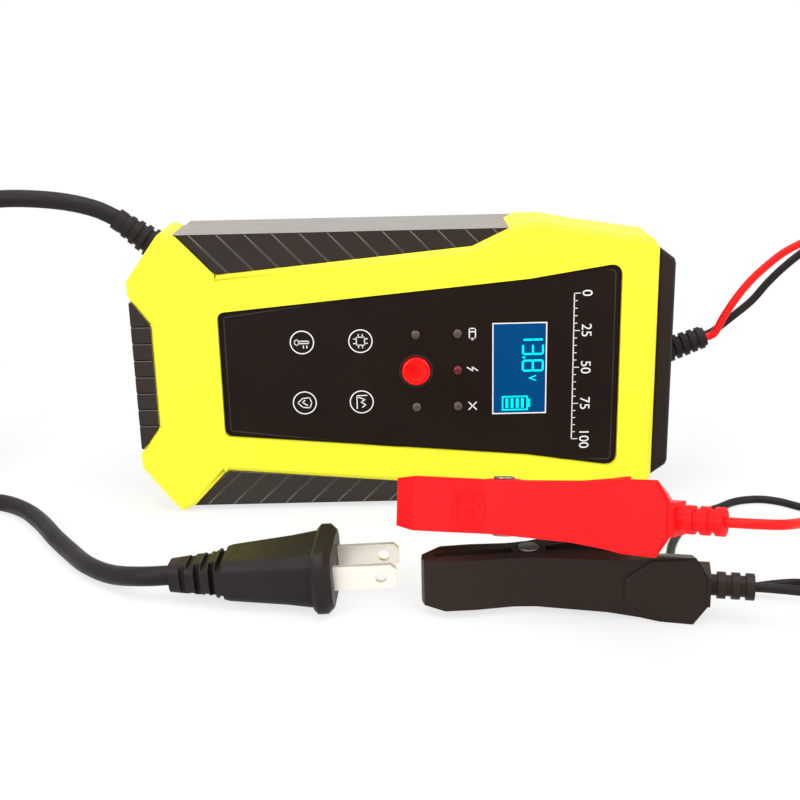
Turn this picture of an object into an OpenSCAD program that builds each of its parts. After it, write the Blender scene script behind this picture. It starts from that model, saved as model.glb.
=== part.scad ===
// Twelve volt car battery charger: clamshell housing with a yellow frame, mains lead with a flat two-pin plug,
// and two battery leads that end in spring clamps. Millimetres. The charger stands on its long side: +X runs
// along its length, the face looks towards -Y and +Z is up. The origin is at the bottom centre of the housing.

/* [Housing] */
// Length over the yellow frame and the end cap
body_l = 160.4; // [150:0.2:180]
// Height of the yellow frame, which is the width of the charger in use
body_h = 87; // [84:0.5:96]
// Depth from the face to the back
body_d = 46; // [42:0.5:60]
// Depth of the front half, from the face to the parting line
front_d = 22; // [20:0.5:26]
// Wall of the shells
wall = 2.2; // [1.8:0.1:3]
// Wall of the yellow frame
frame_t = 2.4; // [2:0.1:3]
// How far the yellow ears stand proud of the black shell
ear_proud = 1.6; // [1.2:0.1:2.4]
// Inward taper of the back half
back_taper = 6; // [4:0.5:9]
// Radius along the front edge of the frame
edge_r = 2.2; // [1:0.1:2.3]
// How far the end cap stands out of the frame
cap_out = 5.2; // [4:0.1:8]
// Depth of the grooves in the grips
groove_d = 0.6; // [0.3:0.1:1]
// Width of the grooves
groove_w = 0.6; // [0.4:0.1:1.2]
// Spacing of the slanted grooves
groove_pitch = 8; // [6:0.5:12]

/* [Face panel] */
// How far the panel lies below the frame's face
panel_drop = 1.3; // [0.8:0.1:1.8]
// Panel length
panel_l = 118; // [110:0.5:122]
// Panel height at its narrow end
panel_h_left = 38; // [34:0.5:42]
// Panel height at its wide end
panel_h_right = 62.4; // [56:0.5:66]
// Display window, across the charger's length
lcd_w = 16; // [12:0.5:20]
// Display window, across the charger's height
lcd_h = 28; // [22:0.5:34]
// Diameter of the mode button
button_d = 8.5; // [6:0.1:10]
// Play round the mode button
button_gap = 0.4; // [0.3:0.05:0.8]
// Travel of the mode button
button_travel = 0.6; // [0.4:0.1:1]
// Diameter of an indicator lamp
led_d = 2.7; // [2:0.1:4]

/* [Cords] */
// Diameter of the mains cord
ac_d = 5.2; // [4.8:0.1:5.6]
// Diameter of a battery lead
dc_d = 2.4; // [2.2:0.1:2.6]
// Length of the mains strain relief outside the housing
ac_relief_l = 13.5; // [12:0.5:15]

/* [Plug] */
// Blade width
blade_w = 6.35; // [6:0.05:6.5]
// Blade thickness
blade_t = 1.5; // [1.4:0.05:1.6]
// Blade length
blade_l = 16; // [15:0.5:18]
// Blade spacing
blade_pitch = 12.7; // [12.4:0.1:13]
// Width of the plug's flange
flange_w = 26; // [24:0.5:30]
// Thickness of the plug's flange, across its width
flange_h = 17; // [15:0.5:19]

/* [Clamps] */
// Half length from the pivot to the tip of the jaws
jaw_l = 27; // [24:0.5:32]
// Length from the pivot to the end of the boot
handle_l = 42; // [38:0.5:50]
// Length from the pivot to the end of the lever
lever_l = 29; // [24:0.5:34]
// Width of a clamp half at its jaws
jaw_w = 13.6; // [12:0.5:16]
// Width of the boot
boot_w = 17.6; // [16:0.2:20]
// Angle between a handle and the closing plane
spread = 16; // [12:0.5:20]
// Plastic wall of a clamp half
clamp_wall = 1.5; // [1.2:0.1:2]
// Clearance between the two halves of a clamp
clamp_gap = 0.35; // [0.25:0.05:0.5]
// Radius of the pivot rivet
rivet_r = 1.6; // [1.2:0.1:2]
// Radial play of the lever on the rivet
rivet_play = 0.06; // [0.03:0.01:0.1]

/* [Hidden] */
$fn = 48;
eps = 0.01;
yellow = "#fffc3c";
black_plastic = "#34302c";
copper = "#c8a078";
steel = "#c8c8cc";
board_green = "#2c6a3c";
clamp_red = "#ff2828";
clamp_black = "#3a3230";

// Planes across the depth
y_face = -body_d / 2;
y_back = body_d / 2;
y_split = y_face + front_d;
y_plate = y_face + frame_t;
y_panel = y_face + panel_drop;
y_inner = y_plate + wall;
mid = body_h / 2;
x_left = -body_l / 2;
x_right = body_l / 2;
x_frame = x_right - cap_out;

// Vectors and outlines
function unit(v) = v / norm(v);
function left_of(v) = [-v.y, v.x];
function wrap(i, n) = (i + n) % n;
function flipped(p) = [for (i = [len(p) - 1:-1:0]) [p[i].x, -p[i].y, p[i].z]];
// A closed outline of [x, z, corner radius], moved inwards by d, with its corners drawn as arcs.
// A slight bend keeps its one point.
function arc_steps(turn) = abs(turn) < 12 ? 0 : abs(turn) < 30 ? 2 : 4;
function outline(p, d = 0, more = 0) = let (n = len(p)) [
    for (i = [0:n - 1])
        let (a = [p[wrap(i - 1, n)].x, p[wrap(i - 1, n)].y], b = [p[i].x, p[i].y],
             c = [p[wrap(i + 1, n)].x, p[wrap(i + 1, n)].y], u = unit(b - a), w = unit(c - b),
             turn = atan2(cross(u, w), u * w), s = sign(turn), m = left_of(u) + left_of(w),
             q = b + d * m / (1 + left_of(u) * left_of(w)), k = arc_steps(turn) + more,
             r = max(min(p[i].z, 0.6), p[i].z - s * d),
             t = min(r * tan(abs(turn) / 2), 0.45 * norm(b - a), 0.45 * norm(c - b)),
             rr = t / tan(abs(turn) / 2), o = q - u * t + s * rr * left_of(u))
        for (j = [0:k])
            let (g = atan2(u.y, u.x) - 90 * s + turn * j / max(1, k))
            k == 0 ? q : o + rr * [cos(g), sin(g)]
];

// Upper half of the frame's outline, from the wide end to the narrow end; the lower half mirrors it
ear_r = 3;
frame_half = [
    [x_frame, mid - 8.2, 1.2],
    [x_frame - 1.8, mid - 5.4, 1.2],
    [x_frame - 23, mid - 2.1, 4],
    [x_frame - 33.5, mid, 4],
    [x_frame - 40.5, mid, 1.5],
    [x_frame - 44.6, mid - ear_proud - 0.5, 1],
    [x_frame - 54.4, mid - 6.6, 3],
    [x_left + 25.9, mid - 13.3, 3],
    [x_left + 15.2, mid - ear_proud - 0.5, 1],
    [x_left + 11, mid, ear_r],
    [x_left, mid - 14.6, ear_r],
    [x_left, mid - 19.1, 0.4],
    [x_left + 6.2, mid - 27.7, 1.5],
];
frame_pts = concat(frame_half, flipped(frame_half));
// The black shell fills the frame, and comes out between its ears
shell_half = [
    [x_frame - ear_proud, mid - 8.7, 1],
    [x_frame - 3, mid - 6.7, 1],
    [x_frame - 23.3, mid - 3.7, 4],
    [x_frame - 33.5, mid - ear_proud, 4],
    [x_left + 12, mid - ear_proud, ear_r],
    [x_left + 1.5, mid - 15.4, ear_r],
];
shell_pts = concat(shell_half, flipped(shell_half));
// The back half's outline, without the small corner at the end cap
rear_half = [
    [x_frame - ear_proud, mid - 7.4, 3],
    [x_frame - 33.5, mid - ear_proud, 4],
    [x_left + 12, mid - ear_proud, ear_r],
    [x_left + 1.5, mid - 15.4, ear_r],
];
rear_pts = concat(rear_half, flipped(rear_half));
notch_pts = [[x_left + 6.2, 27.7 - mid, 0.5], [x_left + 6.2, mid - 27.7, 0.5], [x_left + 0.2, mid - 19.4,
    0.5],
    [x_left + 0.2, 19.4 - mid, 0.5]];
// Face panel, wider towards the end cap
panel_right = x_frame - 11;
panel_left = panel_right - panel_l;
panel_bend = panel_right - 27;
panel_h_bend = panel_h_left + (panel_h_right - panel_h_left) * 0.66;
panel_half = [[panel_right, panel_h_right / 2, 2.8], [panel_bend, panel_h_bend / 2, 8],
    [panel_left, panel_h_left / 2, 2]];
panel_pts = concat(panel_half, flipped(panel_half));
grip_right = x_frame - 44.6;
grip_left = x_left + 15.2;

// Places on the face
lcd_x = 34.6;
button_x = 3.8;
led_dx = 12.4;
led_dz = 11.2;
led_places = [[button_x, led_dz], [button_x, -led_dz], [button_x + led_dx, led_dz], [button_x + led_dx, 0],
    [button_x + led_dx, -led_dz]];

// Extrudes a front-view shape from depth y0 back to depth y1
module across(y0, y1) {
    translate([0, y1, mid]) rotate([90, 0, 0]) linear_extrude(y1 - y0) children();
}

// Boards: the display board hangs behind the face, the main board stands on the back shell's posts
board_t = 1.6;
display_y = y_inner + 8.1;
display_x = [-18, 56];
display_h = 42;
display_screws = [[-14, 0], [52, 0]];
board_y = y_back - wall - 8.8;
board_x = [-59, 55];
board_h = 46;
board_places = [for (x = [board_x[0] + 5, board_x[1] - 5]) for (s = [-1, 1]) [x, s * (board_h / 2 - 4)]];
small_screw_r = 1.1;

screw_x = [x_left + 15, x_frame - 14];
screw_z = mid - 17;
screw_places = [for (x = screw_x) for (s = [-1, 1]) [x, s * screw_z]];
screw_r = 1.5;
screw_head_r = 2.9;
boss_r = 3.6;
back_boss_r = 4.7;

ac_y = -8;
chamfer_a = atan2(14.5, 11);
ac_dir = [-sin(chamfer_a), 0, cos(chamfer_a)];
ac_base = [x_left + 6.4, ac_y, body_h - 6.2];
ac_end = ac_base + ac_relief_l * ac_dir;
ac_bore_r = 4;
dc_y = -5;
dc_z = mid - 0.5;
dc_bore_r = 3.4;
module ac_bore(r, l) {
    translate(ac_base) rotate([0, -chamfer_a, 0]) translate([0, 0, -l]) cylinder(r = r, h = l + 6);
}
module dc_bore(r, l) {
    translate([x_right - l, dc_y, dc_z]) rotate([0, 90, 0]) cylinder(r = r, h = l + 4);
}

// Grip face: a profile that falls from the frame to the outer edge, cut to the grip's outline
grip_in = 0.9;
grip_out = 2.6;
module grip_slope(s) {
    translate([x_left, 0, mid]) rotate([90, 0, 90]) linear_extrude(body_l)
        polygon([[y_inner, s * 12], [y_face + grip_in, s * 12], [y_face + grip_in, s * (mid - 14)],
            [y_face + grip_out, s * (mid - ear_proud)], [y_inner, s * (mid - ear_proud)]]);
}
module grip_plan(s) {
    across(y_face, y_inner) polygon([[grip_left + 0.4, s * (mid - ear_proud)], [grip_left + 11,
        s * (mid - 13)],
        [x_frame - 54.4, s * (mid - 6.4)], [grip_right - 0.4, s * (mid - ear_proud)]]);
}
// Space in front of the grip's face
module grip_front(s) {
    translate([x_left, 0, mid]) rotate([90, 0, 90]) linear_extrude(body_l)
        polygon([[y_face - 3, s * 12], [y_face + grip_in, s * 12], [y_face + grip_in, s * (mid - 14)],
            [y_face + grip_out, s * (mid - ear_proud)], [y_face + grip_out, s * (mid + 2)],
            [y_face - 3, s * (mid + 2)]]);
}
module slanted_grooves(s) {
    for (x = [grip_left - 8:groove_pitch:grip_right + 4])
        translate([x, y_face, mid + s * (mid - 6)]) rotate([0, s * 45, 0]) translate([-12, 0,
            -groove_w / 2])
            cube([24, grip_out + groove_d, groove_w]);
}
module grip(s) {
    difference() {
        intersection() {
            grip_slope(s);
            grip_plan(s);
        }
        intersection() {
            slanted_grooves(s);
            translate([0, groove_d, 0]) grip_front(s);
        }
    }
}
side_pitch = 5.1;
side_grip_in = 0.9;

module front_shell() {
    color(black_plastic) difference() {
        union() {
            difference() {
                union() {
                    across(y_plate, y_split) polygon(outline(shell_pts));
                    across(y_face + side_grip_in, y_split) polygon(outline(notch_pts, 0.1));
                }
                across(y_inner, y_split + eps) polygon(outline(shell_pts, wall));
            }
            grip(1);
            grip(-1);
            for (p = screw_places)
                across(y_inner - eps, y_split) translate(p) circle(boss_r);
            for (p = display_screws)
                across(y_inner - eps, display_y) translate(p) circle(2.4);
        }
        for (i = [-3:3])
            translate([x_left - 1, y_face, mid + i * side_pitch - 0.3]) cube([8, side_grip_in + groove_d,
                0.6]);
        for (p = screw_places)
            across(y_split - 12, y_split + eps) translate(p) circle(screw_r);
        for (p = display_screws)
            across(display_y - 5, display_y + eps) translate(p) circle(small_screw_r);
        across(y_face, y_inner + eps) translate([lcd_x, 0]) square([lcd_w - 2, lcd_h - 2], center = true);
        across(y_face, y_inner + eps) translate([button_x, 0]) circle(button_d / 2 + button_gap);
        for (p = led_places)
            across(y_face, y_inner + eps) translate(p) circle(led_d / 2 + 0.05);
        ac_bore(ac_bore_r, 16);
        dc_bore(dc_bore_r, 20);
    }
}

module front_frame() {
    color(yellow) difference() {
        across(y_face, y_split) polygon(outline(frame_pts));
        across(y_plate, y_split + eps) polygon(outline(shell_pts, -0.02));
        across(y_face - 1, y_plate + eps) polygon(outline(panel_pts, -0.25));
        edge_chamfers();
        ac_bore(ac_bore_r, 16);
        dc_bore(dc_bore_r, 20);
    }
}
// Bevels the face's outer edge, side by side; a blade stops at an inward corner and runs on past an
// outward one
edge_c = 0.7 * edge_r;
module edge_chamfers() {
    n = len(frame_pts);
    function at(i) = [frame_pts[wrap(i, n)].x, frame_pts[wrap(i, n)].y];
    function inward_corner(i) = cross(at(i) - at(i - 1), at(i + 1) - at(i)) < 0;
    for (i = [0:n - 1]) {
        v = at(i + 1) - at(i);
        a = inward_corner(i) ? 0 : -edge_c;
        b = inward_corner(i + 1) ? 0 : edge_c;
        translate([at(i).x, y_face, at(i).y + mid]) rotate([0, -atan2(v.y, v.x), 0]) translate([a, 0, 0])
            rotate([45, 0, 0]) translate([0, edge_c * (sqrt(0.5) - 3), -1.5 * edge_c])
                cube([norm(v) + b - a, edge_c * 3, edge_c * 3]);
    }
}

// Blades along every side of an outline that bulges everywhere: each cuts away what lies outside the plane
// through the two [depth, inset] points
module side_cuts(pts, a, b) {
    n = len(pts);
    for (i = [0:n - 1]) {
        v = [pts[wrap(i + 1, n)].x, pts[wrap(i + 1, n)].y] - [pts[i].x, pts[i].y];
        translate([pts[i].x, 0, pts[i].y + mid]) rotate([0, -atan2(v.y, v.x), 0]) translate([0, a[0], a[1]])
            rotate([atan2(b[1] - a[1], b[0] - a[0]), 0, 0])
                translate([-25, -30, -20]) cube([norm(v) + 50, 80, 20]);
    }
}
// Back half: it stands a little inside the front's rim, and its back edge is bevelled
rear_in = 1.6;
module back_solid(d, y0, y1) {
    c = back_taper - rear_in - 0.586 * d;
    difference() {
        across(y0, y1) polygon(outline(rear_pts, rear_in + d, 1));
        side_cuts(rear_pts, [y1 - c, rear_in + d], [y1, rear_in + d + c]);
    }
}
vent_l = 26;
vent_w = 2.2;
module back_shell() {
    color(black_plastic) difference() {
        back_solid(0, y_split, y_back);
        difference() {
            back_solid(wall, y_split - eps, y_back - wall);
            for (p = screw_places)
                across(y_split, y_back) translate(p) circle(back_boss_r);
            for (p = board_places)
                across(board_y + board_t, y_back) translate(p) circle(3);
        }
        for (p = screw_places) {
            across(y_split - eps, y_back + 1) translate(p) circle(screw_r + 0.2);
            across(y_back - 8, y_back + 1) translate(p) circle(screw_head_r + 0.3);
        }
        for (p = board_places)
            across(board_y, y_back - wall - 1) translate(p) circle(small_screw_r);
        for (x = [-1, 1]) for (i = [-3:3])
            across(y_back - wall - 2, y_back + 1)
                translate([x * 30, i * 5.2]) square([vent_l, vent_w], center = true);
    }
}

// End cap: a chamfered black cover over the wide end
cap_half = [[x_right, mid - 13, 1], [x_right - 0.5, mid - 11.6, 1], [x_frame, mid - 8.2, 0.4]];
cap_pts = concat(cap_half, flipped(cap_half));
cap_front = y_face + 2.2;
cap_back = y_back - back_taper;
module end_cap() {
    color(black_plastic) difference() {
        union() {
            difference() {
                across(cap_front, cap_back) polygon(outline(cap_pts));
                side_cuts(cap_pts, [cap_front, 0.8], [cap_front + 0.8, 0]);
                side_cuts(cap_pts, [cap_back - 2, 0], [cap_back, 1.2]);
            }
            translate([x_frame - 8, y_split, 12.5]) cube([9, cap_back - 2 - y_split, body_h - 25]);
        }
        back_solid(-0.02, y_split, y_back);
        dc_bore(dc_bore_r, 20);
    }
}

module face_panel() {
    color(black_plastic) difference() {
        across(y_panel, y_plate) polygon(outline(panel_pts));
        across(y_panel - eps, y_plate + eps) translate([lcd_x, 0]) square([lcd_w, lcd_h], center = true);
        across(y_panel - eps, y_plate + eps) translate([button_x, 0]) circle(button_d / 2 + button_gap);
        for (p = led_places)
            across(y_panel - eps, y_plate + eps) translate(p) circle(led_d / 2 + 0.05);
    }
}

module lcd_glass() {
    color("#1a4a78") across(y_panel, y_plate - 0.02)
        translate([lcd_x, 0]) square([lcd_w - 0.3, lcd_h - 0.3], center = true);
}

module lcd_module() {
    color("#20242a") {
        across(y_plate, y_inner + 0.2) translate([lcd_x, 0]) square([lcd_w - 2.4, lcd_h - 2.4],
            center = true);
        across(y_inner + 0.1, display_y) translate([lcd_x, 0]) square([lcd_w + 5, lcd_h + 8],
            center = true);
    }
}

// The button's cap passes through panel and shell; a collar behind the shell keeps it in
switch_top = display_y - 3.6;
collar_t = 1;
module mode_button() {
    color("#e01818") difference() {
        union() {
            across(y_face + 0.3, y_inner + 0.31) translate([button_x, 0]) circle(button_d / 2);
            across(y_face, y_face + 0.31) translate([button_x, 0]) circle(button_d / 2 - 0.5);
            across(y_inner + 0.3, y_inner + 0.3 + collar_t) translate([button_x,
                0]) circle(button_d / 2 + 1.2);
            across(y_inner + 1, switch_top - button_travel - 0.1) translate([button_x, 0]) circle(1.6);
        }
        across(y_face - 1, y_face + 0.15) translate([button_x, 0]) circle(button_d / 2 - 1.6);
    }
}

module mode_switch() {
    color("#303030") {
        across(display_y - 3, display_y) translate([button_x, 0]) square(6, center = true);
        across(switch_top, display_y - 2.9) translate([button_x, 0]) circle(1.7);
    }
}

module status_leds() {
    color("#7a5a50") for (p = led_places) {
        across(y_panel - 0.3, y_inner + 0.1) translate(p) circle(led_d / 2);
        across(y_inner + 0.05, display_y) translate(p) circle(led_d / 2 + 0.5);
    }
}

module display_board() {
    color(board_green) difference() {
        across(display_y, display_y + board_t)
            translate([(display_x[0] + display_x[1]) / 2, 0])
            square([display_x[1] - display_x[0], display_h], center = true);
        for (p = display_screws)
            across(display_y - 1, display_y + 3) translate(p) circle(small_screw_r + 0.2);
    }
}

module main_board() {
    color(board_green) difference() {
        across(board_y, board_y + board_t)
            translate([(board_x[0] + board_x[1]) / 2, 0]) square([board_x[1] - board_x[0], board_h],
                center = true);
        for (p = board_places)
            across(board_y - 1, board_y + 3) translate(p) circle(small_screw_r + 0.2);
    }
}

// A ferrite core with two windows, and the coil round its middle leg
core_x = -6;
winding_grow = 3;
core_size = [27, board_y - 6.7 - winding_grow - display_y - board_t, 23];
core_y = board_y - 3.2 - core_size.y;
core_window = [6.2, 15];
leg_w = 7.4;
module transformer_core() {
    color("#4a4a4c") translate([core_x, core_y, mid]) difference() {
        translate([-core_size.x / 2, 0, -core_size.z / 2]) cube(core_size);
        for (s = [-1, 1])
            translate([s * (leg_w + core_window.x) / 2 - core_window.x / 2, -1, -core_window.y / 2])
                cube([core_window.x, core_size.y + 2, core_window.y]);
    }
}
module transformer_winding() {
    grow = winding_grow;
    color("#c89030") translate([core_x, core_y - grow, mid]) difference() {
        translate([-leg_w / 2 - core_window.x + 0.6, 0, -core_window.y / 2 + 0.4])
            cube([leg_w + 2 * core_window.x - 1.2, core_size.y + 2 * grow + 0.1, core_window.y - 0.8]);
        translate([-leg_w / 2 - 0.3, grow - 0.3, -core_window.y])
            cube([leg_w + 0.6, core_size.y + 0.6, 2 * core_window.y]);
    }
}

// A part that stands on the main board: a shape seen from the front, h tall
module on_board(h) {
    across(board_y - h, board_y - 0.05) children();
}
filter_h = 24;
output_h = 16;
module filter_capacitor() {
    color("#283048") difference() {
        on_board(filter_h) translate([-36, 8]) circle(8);
        across(board_y - filter_h - 1, board_y - filter_h + 0.6) translate([-36, 8]) for (a = [0, 90])
            rotate(a) square([10, 0.6], center = true);
    }
}
module output_capacitors() {
    color("#283048") for (s = [-1, 1])
        on_board(output_h) translate([20, s * 8]) circle(5);
}
sink_x = 33;
sink_h = 17;
sink_l = 36;
fin_l = 8;
fin_pitch = 5;
module heat_sink() {
    color("#b8bcc0") {
        on_board(sink_h) translate([sink_x, 0]) square([2, sink_l], center = true);
        for (i = [-3:3])
            on_board(sink_h) translate([sink_x + fin_l / 2 + 0.9, i * fin_pitch]) square([fin_l, 1.2],
                center = true);
    }
}
module power_transistors() {
    color("#303030") for (s = [-1, 1])
        across(board_y - sink_h + 1, board_y - 0.3) translate([sink_x - 3.3, s * 9]) square([4.4, 10],
            center = true);
}
choke_x = -38;
choke_z = -12;
module choke_core() {
    color("#d8c860") translate([choke_x, board_y - 2, mid + choke_z]) rotate([90, 0, 0])
        rotate_extrude() translate([6, 0]) square([3, 7]);
}
module choke_winding() {
    color("#b87040") translate([choke_x, board_y - 2, mid + choke_z]) rotate([90, 0, 0])
        rotate_extrude(angle = 290) difference() {
            translate([4.8, -1.3]) square([5.4, 9.6]);
            translate([5.9, -0.1]) square([3.2, 7.2]);
        }
}
module line_filter() {
    color("#303438") on_board(14) translate([-54, 0]) square([8, 16], center = true);
}
fuse_z = -15;
module fuse() {
    color("#d0d4d8") {
        translate([-14, board_y - 5, mid + fuse_z - 2]) rotate([0, 90, 0]) cylinder(r = 2.4, h = 20);
        for (x = [-13, 5])
            on_board(4) translate([x, fuse_z - 2]) square([2, 5], center = true);
    }
}

// Pan-head screws, driven in along -Y
module screw(p, y_head, r, head_r, l) {
    across(y_head - l, y_head) translate(p) circle(r);
    difference() {
        across(y_head - 0.02, y_head + 1.8) translate(p) circle(head_r);
        across(y_head + 1, y_head + 2) translate(p) for (a = [0, 90])
            rotate(a) square([2.4 * r, 0.5 * r], center = true);
    }
}
module housing_screws() {
    color(steel) for (p = screw_places)
        screw(p, y_back - 8, screw_r, screw_head_r, y_back - 8 - y_split + 10);
}
module board_screws() {
    color(steel) {
        for (p = board_places) {
            across(board_y - 1.4, board_y) translate(p) circle(2);
            across(board_y - eps, board_y + 7) translate(p) circle(small_screw_r);
        }
        for (p = display_screws)
            screw(p, display_y + board_t, small_screw_r, 2, board_t + 4);
    }
}

// Strain reliefs: a shank in the housing's bore and a row of rings that thin towards the cord
module ringed_relief(l, r0, r1, core, n, shank_r, shank_l) {
    translate([0, 0, -shank_l]) cylinder(r = shank_r, h = shank_l + eps);
    cylinder(r1 = core + 0.6, r2 = core, h = l);
    for (i = [0:n - 1])
        translate([0, 0, i * l / n]) cylinder(r = r0 + (r1 - r0) * i / (n - 1), h = 0.55 * l / n);
    translate([0, 0, l - 1.4]) cylinder(r = r1, h = 1.4);
}
module ac_gland() {
    color(black_plastic) translate(ac_base + 0.08 * ac_dir) rotate([0, -chamfer_a, 0])
        ringed_relief(ac_relief_l - 0.08, 4.6, 3.3, 3, 5, ac_bore_r - 0.05, 8);
}

dc_relief_l = 14.4;
dc_lift = 20;
module dc_gland() {
    color(black_plastic) {
        translate([x_right - 9, dc_y, dc_z]) rotate([0, 90, 0]) cylinder(r = dc_bore_r - 0.05, h = 9.1);
        translate([x_right, dc_y, dc_z]) sphere(r = dc_bore_r - 0.1);
        translate([x_right, dc_y, dc_z]) rotate([0, 90 - dc_lift, 0]) {
            cylinder(r = 2.9, h = dc_relief_l);
            for (i = [0:4])
                translate([0, 0, 2 + i * 2.5]) cylinder(r = 3.9 - 0.1 * i, h = 1.4);
        }
    }
}
dc_out = [cos(dc_lift), 0, sin(dc_lift)];
dc_end = [x_right, dc_y, dc_z] + dc_relief_l * dc_out;

// Cords: a tube of n sides swept along a route, with its frame carried from ring to ring
function tangents(p) = let (n = len(p)) [for (i = [0:n - 1])
    i == 0 ? unit(p[1] - p[0]) : i == n - 1 ? unit(p[n - 1] - p[n - 2])
    : unit(unit(p[i] - p[i - 1]) + unit(p[i + 1] - p[i]))];
function carried(t, v, i = 0, out = []) = i == len(t) ? out
    : let (w = unit(v - (v * t[i]) * t[i])) carried(t, w, i + 1, concat(out, [w]));
module tube(p, d, n) {
    t = tangents(p);
    v = carried(t, [0.1, 0.2, 1]);
    pts = [for (i = [0:len(p) - 1]) let (w = cross(t[i], v[i])) for (j = [0:n - 1])
        p[i] + d / 2 * (cos(360 * j / n) * v[i] + sin(360 * j / n) * w)];
    faces = concat([[for (j = [0:n - 1]) j]],
        [for (i = [0:len(p) - 2]) for (j = [0:n - 1]) let (a = i * n + j, b = i * n + (j + 1) % n) [a,
            b + n, b]],
        [for (i = [0:len(p) - 2]) for (j = [0:n - 1]) let (a = i * n + j, b = i * n + (j + 1) % n) [a,
            a + n, b + n]],
        [[for (j = [n - 1:-1:0]) (len(p) - 1) * n + j]]);
    polyhedron(pts, faces, convexity = 10);
}

// A cord coiled on the table: it winds in on the lower layer, climbs in the half turn where the spiral
// reverses, and winds out again on the upper layer. The way round is 1 anticlockwise, -1 clockwise.
coil_play = 0.7;
coil_steps = 24;
function coil_pitch(d) = d + coil_play;
function climb(s) = let (c = min(1, max(0, s * 2 + 0.5))) c * c * (3 - 2 * c);
function coil_point(k, c, turns, mean, d, a0, way) =
    let (s = k / coil_steps - turns / 2, r = mean + coil_pitch(d) * (abs(s) - turns / 4),
         a = a0 + way * 360 * k / coil_steps)
    [c.x + r * cos(a), c.y + r * sin(a), d / 2 + coil_pitch(d) * climb(s)];
function heading(a, way) = way * [-sin(a), cos(a), 0];
function coil_route(c, turns, mean, d, a0, way) =
    let (n = round(turns * coil_steps), body = [for (k = [0:n]) coil_point(k, c, turns, mean, d, a0, way)])
    concat([body[0] - d * heading(a0, way)], body, [body[n] + d * heading(a0 + way * 360 * turns, way)]);
// Least distance from one turn to another, less the cord's own diameter
function coil_gap(p, d) = min([for (i = [1:len(p) - 2])
    for (j = [i + coil_steps / 2:1:min(len(p) - 2, i + 2.6 * coil_steps)]) norm(p[i] - p[j])]) - d;

ac_turns = 4.5;
ac_mean = 29;
ac_centre = [-178, 20];
dc_turns = 5;
dc_mean = 13.4;
red_centre = [136, -66];
black_centre = [150, -20];
ac_coil_pts = coil_route(ac_centre, ac_turns, ac_mean, ac_d, -90, -1);
red_coil_pts = coil_route(red_centre, dc_turns, dc_mean, dc_d, 90, -1);
black_coil_pts = coil_route(black_centre, dc_turns, dc_mean, dc_d, -90, 1);
echo(ac_coil_gap = coil_gap(ac_coil_pts, ac_d), red_coil_gap = coil_gap(red_coil_pts, dc_d),
    black_coil_gap = coil_gap(black_coil_pts, dc_d));
function end_of(p) = p[len(p) - 1];
dc_pair = 1.35;

// Plug: it lies on its flange, with its tail nearer the table
plug_yaw = -3;
plug_pitch = -3;
plug_at = [-18.5, -82.6, 8.75];
plug_dir = [cos(plug_pitch) * cos(plug_yaw), cos(plug_pitch) * sin(plug_yaw), -sin(plug_pitch)];
tail_l = 43;
plug_tail = plug_at - tail_l * plug_dir;
module plug_frame() {
    translate(plug_at) rotate([0, plug_pitch, plug_yaw]) children();
}
// A solid between cross-sections [distance along the plug, half width, half height, corner radius]
module plug_loft(rows) {
    k = 5;
    pts = [for (q = rows) let (r = q[3], w = q[1] - r, h = q[2] - r) for (c = [[1, 1, 0], [-1, 1, 90],
        [-1, -1, 180], [1, -1, 270]])
        for (j = [0:k]) let (a = c[2] + 90 * j / k) [q[0], c[0] * w + r * cos(a), c[1] * h + r * sin(a)]];
    n = 4 * (k + 1);
    faces = concat([[for (j = [0:n - 1]) j]],
        [for (i = [0:len(rows) - 2]) for (j = [0:n - 1]) let (a = i * n + j, b = i * n + (j + 1) % n) [a,
            b + n, b]],
        [for (i = [0:len(rows) - 2]) for (j = [0:n - 1]) let (a = i * n + j, b = i * n + (j + 1) % n) [a,
            a + n, b + n]],
        [[for (j = [n - 1:-1:0]) (len(rows) - 1) * n + j]]);
    polyhedron(pts, faces, convexity = 4);
}
module plug_body() {
    fw = flange_w / 2;
    fh = flange_h / 2;
    color("#302c2a") plug_frame() difference() {
        union() {
            plug_loft([[-5, fw - 1, fh - 1, 4], [-4, fw, fh, 5], [-1.6, fw, fh, 5], [0, fw - 1.4,
                fh - 1.4, 4]]);
            plug_loft([[-31, 6.6, 4.8, 3], [-27, 7.6, 5.6, 3], [-12, 9.5, 6.6, 3.4], [-4.5, 10.6, 7.4,
                3.6]]);
            plug_loft([[-tail_l, 4, 3.9, 2.6], [-30.5, 6.4, 4.6, 3]]);
        }
        for (x = [-40:4:-30]) for (s = [-1, 1])
            translate([x, s * 6.4 - 3, -6]) cube([1.6, 6, 12]);
        for (x = [-38:4:-30]) for (s = [-1, 1])
            translate([x, -8, s * 5.6 - 2.4]) cube([1.6, 16, 4.8]);
        for (s = [-1, 1])
            translate([-8, s * blade_pitch / 2 - blade_t / 2, -blade_w / 2]) cube([9, blade_t, blade_w]);
    }
}
module plug_blades() {
    color("#e8dcc0") plug_frame() for (s = [-1, 1])
        translate([0, s * blade_pitch / 2, 0]) difference() {
            translate([-8, -blade_t / 2, -blade_w / 2]) cube([8 + blade_l, blade_t, blade_w]);
            for (q = [-1, 1])
                translate([blade_l, 0, q * blade_w / 2]) rotate([0, 45, 0]) cube([1.8, 3, 1.8],
                    center = true);
            translate([blade_l - 4, 2, 0]) rotate([90, 0, 0]) cylinder(r = 1.5, h = 4);
        }
}

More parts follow.
